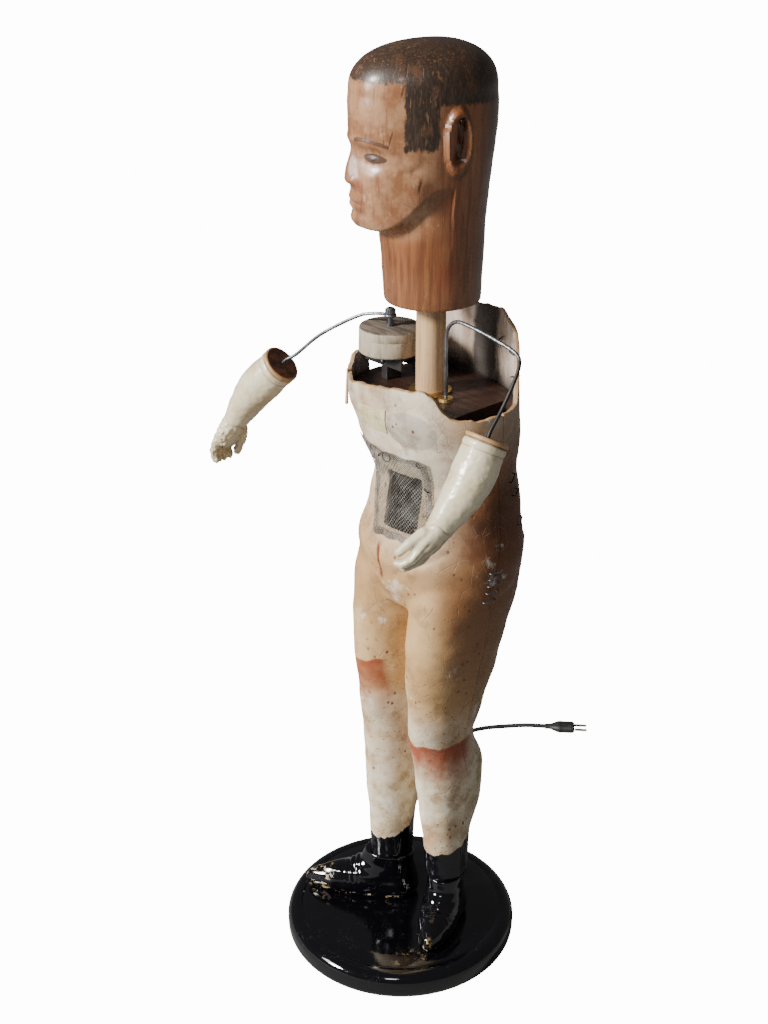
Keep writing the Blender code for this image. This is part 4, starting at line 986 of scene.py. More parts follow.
def gloss_finish():
    """Thick black enamel, dusty, with chips down to the gold size and the cream ground."""
    made = Finish("black_enamel", 0.08, 0.0, Coat_Weight=0.5, Coat_Roughness=0.04)
    z = made.axes()[2]
    dust = made.cloud(60, 5, 0.7)
    specks = made.cells(420, shift=(1, 0, 0)).ease(0.24, 0.10)
    specks = specks * made.cloud(45, 3, shift=(5, 1, 0)).ease(0.52, 0.66)
    colour = made.mix((0.0016, 0.0016, 0.0028), (0.009, 0.009, 0.011), dust.ease(0.60, 0.88))
    colour = made.mix(colour, (0.16, 0.155, 0.15), specks * 0.35)
    chip_shape = made.cloud(130, 5, 0.7, shift=(0, 3, 1))
    toe_right = made.near((-0.100, -0.052, 0.052), 0.036, (chip_shape - 0.5) * 1.6, 0.25)
    toe_left = made.near((0.090, -0.070, 0.052), 0.038, (chip_shape - 0.5) * 1.6, 0.25)
    sole = z.ease(0.045, 0.041) * z.ease(0.0352, 0.0362) * chip_shape.ease(0.60, 0.63)
    chip = (toe_right.either(toe_left) * chip_shape.ease(0.56, 0.59)).either(sole * 0.9)
    gold = made.mix((0.46, 0.30, 0.10), (0.62, 0.56, 0.46), made.cloud(80, 3).ease(0.48, 0.62))
    chip = chip * z.ease(0.0345, 0.0365)
    colour = made.mix(colour, gold, chip)
    made.colour(colour)
    rough = 0.05 + dust * 0.06 + specks * 0.25
    made.rough(rough + chip * 0.45)
    made.bump(made.cloud(24, 3) * 0.9 + made.cloud(260, 3) * 0.12 - chip * 0.35 + specks * 0.1, 0.0014, 0.5)
    return made


BLACK_ENAMEL = gloss_finish()
BASE_RADIUS = 0.1435
BASE_HEIGHT = 0.035


def make_base():
    profile = [(0.0, 0.0), (0.128, 0.0), (0.1305, 0.0002)]
    profile += arc(0.1315, 0.0120, 0.0118, -88, 0, 10)
    profile += arc(0.1290, 0.0205, 0.0145, 4, 84, 14)
    profile += [(0.1262, 0.0349), (0.1252, 0.0346), (0.1243, 0.0341), (0.1234, 0.0346), (0.1224, 0.0350)]
    profile += [(0.10, 0.0351), (0.07, 0.03505), (0.035, 0.0350), (0.0, 0.0350)]
    profile = [(min(radius, BASE_RADIUS), min(height, BASE_HEIGHT + 0.0001)) for radius, height in profile]
    shape = lathe(profile, Vector((0, 0, 0)), UP, 200)
    finished("turned_base", shape, BLACK_ENAMEL, "body", True, 60, ("base_plinth",))


BOOT_LEVELS = [
    (0.0000, 0.905, 0.0290, 0.0228), (0.0015, 0.925, 0.0300, 0.0236), (0.0050, 0.985, 0.0340, 0.0263),
    (0.0120, 1.000, 0.0350, 0.0275), (0.0200, 0.960, 0.0340, 0.0262), (0.0300, 0.780, 0.0320, 0.0242),
    (0.0390, 0.500, 0.0300, 0.0228), (0.0500, 0.345, 0.0280, 0.0218), (0.0640, 0.300, 0.0282, 0.0222),
]


def boot(name, node, ankle, turn, length):
    ahead = Vector((math.sin(turn), -math.cos(turn), 0))
    side = Vector((math.cos(turn), math.sin(turn), 0))
    sole = BASE_HEIGHT + 0.0004
    shape = bmesh.new()

    def place(around, rise):
        height = rise * BOOT_LEVELS[-1][0]
        reach = along_table(BOOT_LEVELS, height, 1) * length
        heel = along_table(BOOT_LEVELS, height, 2)
        half = along_table(BOOT_LEVELS, height, 3)
        angle = around * math.tau
        forward = math.cos(angle)
        depth = reach if forward > 0 else heel
        narrow = 1 - 0.30 * max(forward, 0.0) ** 3 * between(0.055 - height, 0.0, 0.03)
        waist = 1 - 0.12 * hill(forward, 0.15, 0.22) * between(0.03 - height, 0.0, 0.03)
        ledge = 0.0012 * between(0.0035 - height, 0, 0.0008)
        return (
            ankle
            + ahead * (forward * (depth + ledge))
            + side * (math.sin(angle) * (half * narrow * waist + ledge))
            + UP * (sole + height)
        )

    skin(shape, 120, 70, place)
    form = remeshed(shape, 0.0016, 4, 0.5)
    for vert in form.verts:
        p = vert.co
        away = p - ankle
        forward = away.dot(ahead)
        height = p.z - sole
        lift = 0.0006 * noise.noise(p * 70)
        welt = hill(height, 0.0055, 0.0011) * between(height, 0.0015, 0.003)
        lift -= 0.0009 * welt
        instep = hill(forward, 0.048, 0.010) * between(height, 0.018, 0.028)
        lift += 0.0007 * instep * math.sin(forward * 900)
        vert.co = p + vert.normal * lift
        vert.co.z = max(vert.co.z, sole)
    finished(name, form, BLACK_ENAMEL, "body", True, 60, (node,))


make_base()
boot("right_foot", "right_boot", Vector((-0.025, 0.008, 0)), math.radians(-49), 0.112)
boot("left_foot", "left_boot", Vector((0.053, 0.027, 0)), math.radians(30), 0.088)


# ---------------------------------------------------------------- the carved head

HEAD_PLACE = Matrix.Translation((0.020, 0.021, 0.0)) @ Matrix.Rotation(math.radians(-23), 4, "Z")
HEAD_LEVELS = [
    (0.8340, 0.0490, 0.0515, 0.0495, 2), (0.8358, 0.0500, 0.0522, 0.0503, 2),
    (0.8460, 0.0510, 0.0530, 0.0510, 2), (0.8750, 0.0530, 0.0540, 0.0520, 2),
    (0.9030, 0.0555, 0.0548, 0.0530, 2), (0.9110, 0.0700, 0.0550, 0.0530, 2),
    (0.9170, 0.0810, 0.0552, 0.0530, 2), (0.9300, 0.0865, 0.0558, 0.0540, 2.05),
    (0.9500, 0.0875, 0.0570, 0.0558, 2.1), (0.9750, 0.0875, 0.0595, 0.0575, 2.15),
    (1.0000, 0.0860, 0.0625, 0.0585, 2.2), (1.0170, 0.0885, 0.0640, 0.0590, 2.25),
    (1.0400, 0.0890, 0.0645, 0.0590, 2.2), (1.0620, 0.0870, 0.0630, 0.0575, 2.15),
    (1.0800, 0.0770, 0.0560, 0.0520, 2.1), (1.0930, 0.0550, 0.0410, 0.0390, 2),
    (1.0980, 0.0250, 0.0200, 0.0200, 2), (1.0989, 0.0040, 0.0040, 0.0040, 2),
]
EAR_Y = 0.0025
EAR_Z = 1.0075


def head_height(rise):
    if rise < 0.74:
        return 0.834 + (1.064 - 0.834) * rise / 0.74
    return 1.064 + (1.0989 - 1.064) * math.sin((rise - 0.74) / 0.26 * math.pi / 2)


def head_point(turn, rise):
    """The plain carved block of the head, in its own axes: the face looks along -Y."""
    z = head_height(rise)
    front, back, half, square = (along_table(HEAD_LEVELS, min(z, 1.050), i) for i in range(1, 5))
    dome = max(0.0, (z - 1.050) / 0.0489)
    crown = max(1 - dome**2.6, 1e-4) ** 0.4545
    front, back, half = front * crown, back * crown, half * crown
    angle = turn * math.tau
    ahead, side = math.cos(angle), math.sin(angle)
    power = 2 / square
    x = half * math.copysign(abs(side) ** power, side)
    depth = front if ahead > 0 else back
    y = -depth * math.copysign(abs(ahead) ** power, ahead)
    jaw = 0.916 + 0.044 * between(y, -0.074, -0.010)
    under = between(z, jaw + 0.003, jaw - 0.005) * between(z, 0.895, 0.905) if y < 0 else 0.0
    throat_y = -0.0560 * math.copysign(abs(ahead) ** power, ahead)
    throat_x = 0.0525 * math.copysign(abs(side) ** power, side)
    return Vector((x + (throat_x - x) * under, y + (throat_y - y) * under, z))


def ear_shape(across, up):
    """Height of the ear above the side of the head: a rolled rim round a long slot."""
    reach = math.hypot(across / 0.0150, up / 0.0335)
    rim = 0.0062 * between(reach, 1.08, 0.86)
    bowl = 0.0030 * between(reach, 0.80, 0.60)
    slot = 0.0075 * hill(across - 0.0015 - 0.1 * up, 0.0, 0.0030) * between(abs(up - 0.003), 0.024, 0.017)
    return rim - bowl * between(up, -0.026, -0.014) - slot


def carve(p):
    """The carver's shaping of the face, as a move of each point of the block."""
    across = abs(p.x)
    face = between(-p.y, 0.030, 0.060)
    move = Vector((0, 0, 0))
    forward = 0.0
    forward += 0.0030 * hill(p.z, 1.0075 - 0.10 * across, 0.0055) * between(across, 0.052, 0.036)
    forward -= 0.0062 * hill(across, 0.0275, 0.0145) * hill(p.z, 0.9910, 0.0095)
    forward += 0.0036 * hill(across, 0.0280, 0.0090) * hill(p.z, 0.9905, 0.0048)
    bridge = between(p.z, 0.958, 0.966) * between(p.z, 1.012, 1.000)
    width = 0.0065 + 0.0045 * between(p.z, 0.990, 0.966)
    rise = 0.0022 + 0.0050 * between(p.z, 1.002, 0.968)
    forward += rise * bridge * hill(across, 0.0, width)
    forward += 0.0024 * hill(across, 0.0105, 0.0045) * hill(p.z, 0.9665, 0.0050)
    forward -= 0.0022 * hill(across, 0.0, 0.016) * hill(p.z, 0.9545, 0.0035)
    lips = between(across, 0.022, 0.012)
    forward += 0.0011 * lips * (hill(p.z, 0.9475, 0.0030) + hill(p.z, 0.9400, 0.0030))
    forward -= 0.0008 * lips * hill(p.z, 0.9437, 0.0011)
    forward -= 0.0022 * hill(p.z, 0.9325, 0.0040) * between(across, 0.026, 0.010)
    forward += 0.0026 * hill(across, 0.0, 0.018) * hill(p.z, 0.9240, 0.0060)
    forward += 0.0020 * hill(across, 0.0360, 0.0100) * hill(p.z, 0.9720, 0.0110)
    move.y -= forward * face
    side = between(across, 0.040, 0.052)
    outward_by = 0.0
    outward_by += ear_shape(p.y - EAR_Y, p.z - EAR_Z) * side
    outward_by -= 0.0022 * hill(p.y, -0.040, 0.016) * hill(p.z, 0.962, 0.018) * side
    outward_by += 0.0014 * hill(p.y, -0.046, 0.010) * hill(p.z, 0.986, 0.008) * side
    move.x += math.copysign(outward_by, p.x)
    return move


def hair_reach(p):
    """How far inside the painted hair a point is, in metres; below 0 outside it."""
    top = p.z - (1.0640 + 0.05 * (p.y + 0.060) * (p.y > -0.06))
    burn = min(p.y + 0.0505, -0.0165 - p.y, (p.z - 1.0005) * 0.8)
    behind = min(p.y + 0.0400, p.z - 1.0430 + 0.10 * max(p.y - 0.03, 0))
    return max(top, burn, behind)


def head_finish():
    """Varnished carved wood with worn paint: skin colour, dark hair, brows and eyes."""
    made = Finish("painted_carved_wood", 0.35, 0.0, Coat_Weight=0.35, Coat_Roughness=0.22)
    grain = made.cloud(210, 5, 0.62, (1, 1, 0.045))
    streak = made.cloud(55, 4, 0.6, (1, 1, 0.10), shift=(3, 0, 0))
    mottle = made.cloud(36, 5, 0.65)
    fine = made.cloud(420, 3, 0.6, (1, 1, 0.2))
    side = made.attribute("head_back_shade")
    worn = made.attribute("face_paint") + (mottle - 0.5) * 0.5
    wood = made.mix((0.235, 0.085, 0.030), (0.115, 0.038, 0.014), grain.ease(0.42, 0.62) * 0.75)
    wood = made.mix(wood, (0.34, 0.14, 0.052), streak.ease(0.50, 0.66) * 0.45)
    wood = made.mix(wood, (0.085, 0.030, 0.012), streak.ease(0.42, 0.30) * 0.55)
    paint = made.mix((0.43, 0.235, 0.125), (0.25, 0.105, 0.045), mottle.ease(0.38, 0.64))
    paint = made.mix(paint, (0.20, 0.080, 0.034), grain.ease(0.50, 0.66) * 0.6)
    colour = made.mix(wood, paint, worn.ease(0.15, 0.95) * 0.92)
    # painted shade: the back and far side of the head are darkened, mottled
    colour = made.mix(colour, (0.060, 0.020, 0.008), side.ease(0.25, 1.0) * (0.45 + mottle * 0.6).both(0.95))
    rub = made.cloud(85, 5, 0.7, (1, 1, 0.5), shift=(1, 4, 2)).ease(0.60, 0.70)
    colour = made.mix(colour, (0.56, 0.38, 0.26), rub * worn.ease(0.2, 0.6) * 0.5)
    red = made.near((0.068, -0.004, 0.866), 0.017, (mottle - 0.5) * 1.4, 0.8, (1, 1, 0.55))
    colour = made.mix(colour, (0.24, 0.040, 0.018), red * grain.ease(0.35, 0.6) * 0.6)
    nose_red = made.attribute("nostril")
    colour = made.mix(colour, (0.34, 0.085, 0.045), nose_red * 0.6)
    lips = made.attribute("mouth")
    colour = made.mix(colour, (0.24, 0.085, 0.050), lips * (0.10 + mottle * 0.3))

    bristles = made.cloud(420, 3, 0.6, (1, 1, 0.12))
    wobble = (made.cloud(150, 4, 0.65) - 0.5) * 0.0090 + (bristles - 0.5) * 0.0080
    brush = made.cloud(330, 4, 0.65, (1, 1, 0.16))
    hair = (made.attribute("hair") + wobble).ease(-0.0016, 0.0022)
    fade = made.attribute("hair_fade")
    hair = hair * fade * (brush.ease(0.34, 0.46) * 0.45 + 0.55) * (mottle.ease(0.72, 0.55) * 0.35 + 0.65)
    hair_colour = made.mix((0.020, 0.011, 0.007), (0.075, 0.042, 0.024), brush.ease(0.42, 0.72))
    hair_colour = made.mix(hair_colour, (0.20, 0.11, 0.062), rub * 0.5)
    colour = made.mix(colour, hair_colour, hair)
    brow = (made.attribute("brow") + wobble * 0.25).ease(-0.0004, 0.0006)
    colour = made.mix(colour, (0.050, 0.022, 0.013), brow * 0.72)
    lid = (made.attribute("eye") + wobble * 0.15).ease(-0.0004, 0.0005)
    colour = made.mix(colour, (0.045, 0.022, 0.016), lid * 0.88)
    white = (made.attribute("eye_white") + wobble * 0.12).ease(-0.0002, 0.0005)
    colour = made.mix(colour, (0.012, 0.007, 0.006), white * 0.8)
    slot = made.attribute("ear_slot")
    colour = made.mix(colour, (0.020, 0.008, 0.005), slot * 0.9)
    crack = made.attribute("crack")
    colour = made.mix(colour, (0.016, 0.007, 0.004), crack)
    check = made.cells(30, "DISTANCE_TO_EDGE", at=made.placed(scale=(1, 1, 0.06))).ease(0.010, 0.002)
    check = check * mottle.ease(0.52, 0.62)
    colour = made.mix(colour, (0.045, 0.018, 0.009), check * 0.6)
    made.colour(colour)
    made.rough(0.30 + (mottle - 0.5) * 0.16 + hair * 0.14 + fine * 0.06)
    tool = made.cells(48, "SMOOTH_F1", (1, 1, 0.6))
    height = grain * 0.16 + tool * 0.9 + fine * 0.10 - check * 0.25 - crack * 0.6 + mottle * 0.25
    made.bump(height, 0.0016, 0.55)
    return made


def make_head():
    shape = bmesh.new()
    skin(shape, 300, 190, head_point)
    names = ("head_back_shade", "face_paint", "hair", "hair_fade", "brow", "eye", "eye_white",
             "ear_slot", "crack", "nostril", "mouth")
    layers = {name: shape.verts.layers.float.new(name) for name in names}
    for vert in shape.verts:
        p = vert.co.copy()
        across = abs(p.x)
        front = between(-p.y, 0.020, 0.050)
        eye_line = p.z - 0.9915 + 0.05 * (across - 0.028)
        eye = 1 - math.hypot((across - 0.0285) / 0.0108, eye_line / 0.0047)
        ball = 1 - math.hypot((across - 0.0275) / 0.0062, eye_line / 0.0026)
        brow_line = p.z - (1.0095 - 14.0 * (across - 0.023) ** 2)
        brow = 0.0021 - abs(brow_line)
        ear_u, ear_v = p.y - EAR_Y, p.z - EAR_Z
        marks = {
            "head_back_shade": between(p.y, 0.010, 0.055),
            "face_paint": between(p.y, 0.012, -0.040) * between(p.z, 0.890, 0.930)
            + 0.35 * between(p.z, 0.90, 0.86),
            "hair": hair_reach(p),
            "hair_fade": 1 - 0.85 * between(p.y, 0.030, 0.060) * between(p.z, 1.092, 1.070),
            "brow": min(brow, 0.0165 - abs(across - 0.0270)) if front > 0 else -0.01,
            "eye": eye * 0.0050 if front > 0 else -0.01,
            "eye_white": (ball - 0.25) * 0.0022 if front > 0 else -0.01,
            "ear_slot": hill(ear_u - 0.0015 - 0.1 * ear_v, 0.0, 0.0034)
            * between(abs(ear_v - 0.003), 0.026, 0.018) * between(across, 0.040, 0.050)
            + 0.45 * hill(math.hypot(ear_u / 0.0155, ear_v / 0.034), 1.06, 0.07)
            * between(across, 0.040, 0.050),
            "crack": hill(p.y, -0.0350 + 0.22 * (p.z - 0.967), 0.0011) * hill(p.z, 0.967, 0.0060)
            * between(p.x, 0.030, 0.042),
            "nostril": hill(across, 0.0135, 0.0050) * hill(p.z, 0.9640, 0.0050) * front,
            "mouth": between(across, 0.022, 0.014) * hill(p.z, 0.9437, 0.0055) * front,
        }
        for name, value in marks.items():
            vert[layers[name]] = value
        vert.co = p + carve(p) + Vector((1, 1, 0)) * 0.0005 * noise.noise(p * 40)
    bmesh.ops.transform(shape, matrix=HEAD_PLACE, verts=shape.verts)
    bmesh.ops.recalc_face_normals(shape, faces=shape.faces)
    finished("carved_head", shape, head_finish(), "head_and_dowel", True, 50, ("head",))


make_head()


# ---------------------------------------------------------------- arms


def composition_finish():
    """Old doll composition: ivory varnish over a pressed body, crazed and rubbed."""
    made = Finish("ivory_composition", 0.3, 0.0, Coat_Weight=0.4, Coat_Roughness=0.16)
    age = made.cloud(46, 5, 0.65)
    fine = made.cloud(300, 4, 0.6)
    colour = made.mix((0.72, 0.64, 0.45), (0.60, 0.49, 0.29), age.ease(0.42, 0.68))
    craze = made.cells(170, "DISTANCE_TO_EDGE").ease(0.028, 0.004) * age.ease(0.46, 0.62)
    colour = made.mix(colour, (0.36, 0.26, 0.13), craze * 0.35)
    dirt = made.attribute("hollow")
    colour = made.mix(colour, (0.30, 0.21, 0.11), dirt.ease(0.15, 0.9) * (0.35 + age * 0.6))
    spots = made.cells(210, shift=(2, 0, 0)).ease(0.17, 0.08) * made.cloud(40, 2).ease(0.50, 0.62)
    colour = made.mix(colour, (0.22, 0.12, 0.05), spots * 0.7)
    made.colour(colour)
    made.rough(0.26 + age * 0.16 + dirt * 0.25)
    made.bump(fine * 0.14 + age * 0.6 - craze * 0.12 + made.cloud(120, 3) * 0.25, 0.0009, 0.6)
    return made


COMPOSITION = composition_finish()
FOREARM_LEVELS = [
    (0.0053, 0.0000, 0.0218, 0.0218), (0.0060, 0.0001, 0.0226, 0.0226), (0.0105, 0.0003, 0.0231, 0.0231),
    (0.0140, 0.0002, 0.0222, 0.0222), (0.0180, 0.0000, 0.0228, 0.0226), (0.0300, 0.0000, 0.0237, 0.0235),
    (0.0480, 0.0006, 0.0235, 0.0230), (0.0660, 0.0030, 0.0219, 0.0211), (0.0840, 0.0070, 0.0193, 0.0182),
    (0.0980, 0.0108, 0.0168, 0.0152), (0.1040, 0.0128, 0.0168, 0.0146), (0.1120, 0.0152, 0.0182, 0.0138),
    (0.1200, 0.0178, 0.0195, 0.0134), (0.1280, 0.0206, 0.0190, 0.0122), (0.1330, 0.0228, 0.0170, 0.0100),
]
RIGHT_ELBOW = Vector((-0.172, -0.028, 0.722))
RIGHT_ALONG = Vector((-0.67, -0.25, -0.70)).normalized()
LEFT_ELBOW = Vector((0.162, -0.038, 0.734))
LEFT_ALONG = Vector((0.0, -0.50, -0.87)).normalized()


def knuckle(shape, start, end, start_radius, end_radius):
    """A finger joint: a tapered capsule."""
    along = end - start
    length = along.length

    def place(turn, rise):
        if rise < 0.2:
            a = (rise / 0.2) * math.pi / 2
            reach, radius = -start_radius * math.cos(a), start_radius * math.sin(a)
        elif rise > 0.8:
            a = ((rise - 0.8) / 0.2) * math.pi / 2
            reach, radius = length + end_radius * math.sin(a), end_radius * math.cos(a)
        else:
            t = (rise - 0.2) / 0.6
            reach, radius = length * t, start_radius + (end_radius - start_radius) * t
        angle = turn * math.tau
        return Vector((radius * math.cos(angle), radius * math.sin(angle), reach))

    part = bmesh.new()
    skin(part, 20, 20, place)
    axes = frame_along(along, Vector((0.31, 0.2, 0.93)))
    bmesh.ops.transform(part, matrix=Matrix.Translation(start) @ axes, verts=part.verts)
    mesh = bpy.data.meshes.new("joint")
    part.to_mesh(mesh)
    part.free()
    shape.from_mesh(mesh)
    bpy.data.meshes.remove(mesh)


def forearm(name, node, body, elbow, along, bow_like, rough_hand):
    """A doll's forearm and its loosely curled hand."""
    bow = (bow_like - along * bow_like.dot(along)).normalized()
    wide = along.cross(bow)
    shape = bmesh.new()
    low, high = FOREARM_LEVELS[0][0], FOREARM_LEVELS[-1][0]

    def place(turn, rise):
        reach = low + (high - low) * rise
        shift, half, thick = (along_table(FOREARM_LEVELS, reach, i) for i in (1, 2, 3))
        angle = turn * math.tau
        return (
            elbow + along * reach - bow * shift
            + wide * (half * math.cos(angle)) + bow * (thick * math.sin(angle))
        )

    skin(shape, 96, 110, place)

    def spot(reach, drop, side):
        return elbow + along * reach - bow * drop + wide * side

    for i in range(4):
        side = -0.0138 + 0.0088 * i
        long = (0.0, 0.0022, 0.0030, 0.0005)[i]
        base = spot(0.1240, 0.0170, side)
        middle = spot(0.1400 + long, 0.0222, side * 1.03)
        bent = spot(0.1490 + long, 0.0300, side * 1.02)
        tip = spot(0.1500 + long * 0.6, 0.0365, side)
        knuckle(shape, base, middle, 0.0058, 0.0051)
        knuckle(shape, middle, bent, 0.0051, 0.0046)
        knuckle(shape, bent, tip, 0.0046, 0.0040)
    root, mid, tip = spot(0.1120, 0.0210, 0.0125), spot(0.1265, 0.0300, 0.0180), spot(0.1390, 0.0380, 0.0150)
    knuckle(shape, root, mid, 0.0076, 0.0062)
    knuckle(shape, mid, tip, 0.0062, 0.0048)
    form = remeshed(shape, 0.00115, 3, 0.5)
    layer = form.verts.layers.float.new("hollow")
    form.normal_update()
    for vert in form.verts:
        p = vert.co - elbow
        reach, side, rise = p.dot(along), p.dot(wide), p.dot(bow)
        hand = between(reach, 0.112, 0.124)
        back = between(vert.normal.dot(bow), 0.1, 0.7)
        grooves = 0.5 + 0.5 * math.cos((side + 0.0138) / 0.0088 * math.tau)
        valley = (1 - grooves) * hand * back * between(abs(side), 0.019, 0.016)
        lift = -0.0010 * valley
        cuff = hill(reach, 0.0142, 0.0011)
        wrist = hill(reach, 0.1015 + 0.003 * math.sin(side * 220), 0.0011)
        lift -= 0.0007 * wrist
        lift += 0.0007 * noise.noise(vert.co * 60) + 0.0003 * noise.noise(vert.co * 190)
        if rough_hand:
            worn = between(reach, 0.098, 0.112)
            lift += worn * (0.0016 * noise.noise(vert.co * 210) + 0.0009 * noise.noise(vert.co * 420))
        pocket = hand * between(-rise, 0.020, 0.030) * 0.35
        vert[layer] = max(valley * 0.85, cuff * 0.9, wrist * 0.8, pocket, hill(reach, 0.0060, 0.0010))
        vert.co = vert.co + vert.normal * lift
    finished(name, form, COMPOSITION, body, True, None, (node,))


def plug_finish():
    made = Finish("stained_plug_wood", 0.4, 0.0, Coat_Weight=0.2, Coat_Roughness=0.3)
    grain = made.cloud(130, 5, 0.6, (1, 0.25, 1))
    edge = made.attribute("tan_rim")
    colour = made.mix((0.085, 0.028, 0.013), (0.19, 0.070, 0.030), grain.ease(0.40, 0.66))
    colour = made.mix(colour, (0.020, 0.008, 0.005), made.cloud(60, 4).ease(0.56, 0.70) * 0.6)
    colour = made.mix(colour, (0.50, 0.30, 0.14), edge.ease(0.3, 0.8) * (0.6 + grain * 0.5))
    made.colour(colour)
    made.rough(0.36 + grain * 0.2).bump(grain, 0.0006, 0.6)
    return made


PLUG_WOOD = plug_finish()


def elbow_plug(name, node, body, elbow, along):
    profile = [(0.0023, 0.0002)]
    profile += [(0.0030, 0.0), (0.010, 0.0003), (0.0170, -0.0002), (0.0204, 0.0)]
    profile += [(0.0222, -0.0004), (0.0231, -0.0013), (0.0232, -0.0028), (0.0228, -0.0042), (0.0220, -0.0048)]
    profile += [(0.0172, -0.0048), (0.0172, -0.0235), (0.0166, -0.0240), (0.0023, -0.0240)]
    shape = lathe(profile, elbow, -along, 72, closed=True)
    layer = shape.verts.layers.float.new("tan_rim")
    for vert in shape.verts:
        p = vert.co - elbow
        reach = -p.dot(along)
        radius = (p + along * reach).length
        vert[layer] = between(radius, 0.0196, 0.0216)
        vert.co += p.normalized() * 0.0004 * noise.noise(vert.co * 120)
    finished(name, shape, PLUG_WOOD, body, True, 45, (node,))


forearm("right_doll_forearm", "right_forearm", "right_doll_arm", RIGHT_ELBOW, RIGHT_ALONG,
        Vector((-0.5, 0.0, 0.85)), True)
forearm("left_doll_forearm", "left_forearm", "left_doll_arm", LEFT_ELBOW, LEFT_ALONG,
        Vector((0.75, 0.25, -0.2)), False)
elbow_plug("right_plug", "right_elbow_plug", "right_doll_arm", RIGHT_ELBOW, RIGHT_ALONG)
elbow_plug("left_plug", "left_elbow_plug", "left_doll_arm", LEFT_ELBOW, LEFT_ALONG)

PUCK_AXIS = Vector((-0.043, 0.021, 0.0))
EYE_Z = 0.7998
WIRE_RADIUS = 0.0020


def right_wire():
    eye = Vector((PUCK_AXIS.x, PUCK_AXIS.y, EYE_Z))
    level = RIGHT_ELBOW - eye
    level = Vector((level.x, level.y, 0)).normalized()
    side = UP.cross(level)
    ring = []
    for i in range(25):
        angle = math.radians(8 + 344 * i / 24)
        ring.append(eye + level * 0.0051 * math.cos(angle) + side * 0.0051 * math.sin(angle))
    tail = [
        eye + level * 0.0150 - UP * 0.0003, eye + level * 0.0280 - UP * 0.0026,
        eye + level * 0.0380 - UP * 0.0060, eye + level * 0.0600 - UP * 0.0180,
        eye + level * 0.0900 - UP * 0.0375,
        RIGHT_ELBOW - RIGHT_ALONG * 0.020 + Vector((0.004, 0.002, 0)),
        RIGHT_ELBOW - RIGHT_ALONG * 0.009, RIGHT_ELBOW - RIGHT_ALONG * 0.001,
        RIGHT_ELBOW + RIGHT_ALONG * 0.010, RIGHT_ELBOW + RIGHT_ALONG * 0.022,
    ]
    path = [*ring[:-1], *smooth_route([ring[-1], *tail], 0.003)]
    tube_mesh("right_wire", [path], WIRE_RADIUS, STEEL, "right_wire", 4, ("right_arm_wire",))


def left_wire():
    x, y = 0.052, 0.013
    points = [
        (x, y, 0.718), (x, y, 0.750), (x - 0.001, y, 0.782), (x + 0.001, y, 0.808),
        (x + 0.012, y, 0.8195), (x + 0.030, y, 0.8200), (x + 0.065, y, 0.8150),
        (x + 0.097, y - 0.001, 0.8080), (x + 0.108, y - 0.006, 0.8000), (x + 0.111, y - 0.018, 0.782),
        (x + 0.1105, y - 0.033, 0.7590),
        LEFT_ELBOW - LEFT_ALONG * 0.009, LEFT_ELBOW - LEFT_ALONG * 0.001,
        LEFT_ELBOW + LEFT_ALONG * 0.010, LEFT_ELBOW + LEFT_ALONG * 0.022,
    ]
    path = smooth_route(points, 0.003)
    tube_mesh("left_wire", [path], WIRE_RADIUS, two_tone_wire(), "left_wire", 4,
              ("left_arm_wire",))


def two_tone_wire():
    """Bright steel over the shoulder, blackened where it falls to the arm."""
    made = Finish("half_blackened_wire", 0.35, 0.9)
    x, _, z = made.axes()
    drawn = made.cloud(420, 4, 0.6, (1, 1, 0.15))
    bright = made.mix((0.12, 0.125, 0.135), (0.36, 0.38, 0.41), drawn.ease(0.3, 0.7))
    black = made.mix((0.015, 0.014, 0.014), (0.06, 0.057, 0.055), drawn)
    fall = (z + (made.cloud(160, 3) - 0.5) * 0.008).ease(0.8085, 0.8015) * x.ease(0.12, 0.14)
    made.colour(made.mix(bright, black, fall))
    made.rough(0.28 + fall * 0.18 + drawn * 0.1).bump(drawn, 0.0001, 0.4)
    return made


right_wire()
left_wire()


# ---------------------------------------------------------------- woods, boards and works


def wood_finish(name, light, dark, axis=(1, 1, 0.05), rough=0.5, marks=0.3, scale=170):
    """Bare wood whose grain runs along the axis with the smallest factor."""
    made = Finish(name, rough)
    grain = made.cloud(scale, 5, 0.65, axis)
    broad = made.cloud(scale * 0.25, 4, 0.6, axis, shift=(2, 1, 0))
    mottle = made.cloud(45, 5, 0.65)
    colour = made.mix(light, dark, grain.ease(0.40, 0.66) * 0.8)
    colour = made.mix(colour, dark, broad.ease(0.52, 0.70) * 0.6)
    colour = made.mix(colour, tuple(c * 0.35 for c in dark), mottle.ease(0.58, 0.72) * marks)
    made.colour(colour)
    made.rough(rough + (grain - 0.5) * 0.2).bump(grain * 0.8 + mottle * 0.4, 0.0007, 0.6)
    return made


DOWEL_WOOD = wood_finish("dowel_wood", (0.60, 0.39, 0.21), (0.40, 0.22, 0.10))
# the boards inside the torso: dark stained wood, made near-black as painted shade of the cavity
BOARD_WOOD_IN_SHADE = wood_finish("stained_board_in_painted_shade", (0.040, 0.015, 0.008), (0.014, 0.006, 0.004), (0.06, 1, 1), 0.5)


def puck_finish():
    """A cut round of grey, weathered wood with a darkened top."""
    made = Finish("weathered_puck", 0.75)
    z = made.axes()[2]
    grain = made.cloud(200, 5, 0.65, (1, 1, 0.12))
    rings = made.cloud(160, 4, 0.6, (0.15, 1, 1))
    mottle = made.cloud(55, 5, 0.65)
    side = made.mix((0.40, 0.34, 0.25), (0.22, 0.17, 0.12), grain.ease(0.44, 0.66) * 0.7)
    side = made.mix(side, (0.14, 0.10, 0.07), mottle.ease(0.58, 0.72) * 0.5)
    top = made.mix((0.16, 0.125, 0.095), (0.075, 0.055, 0.042), rings.ease(0.42, 0.62))
    edge = (z + (mottle - 0.5) * 0.003).ease(0.7865, 0.7880)
    made.colour(made.mix(side, top, edge))
    made.rough(0.70 + grain * 0.15).bump(grain * 0.7 + mottle * 0.4, 0.0009, 0.7)
    return made


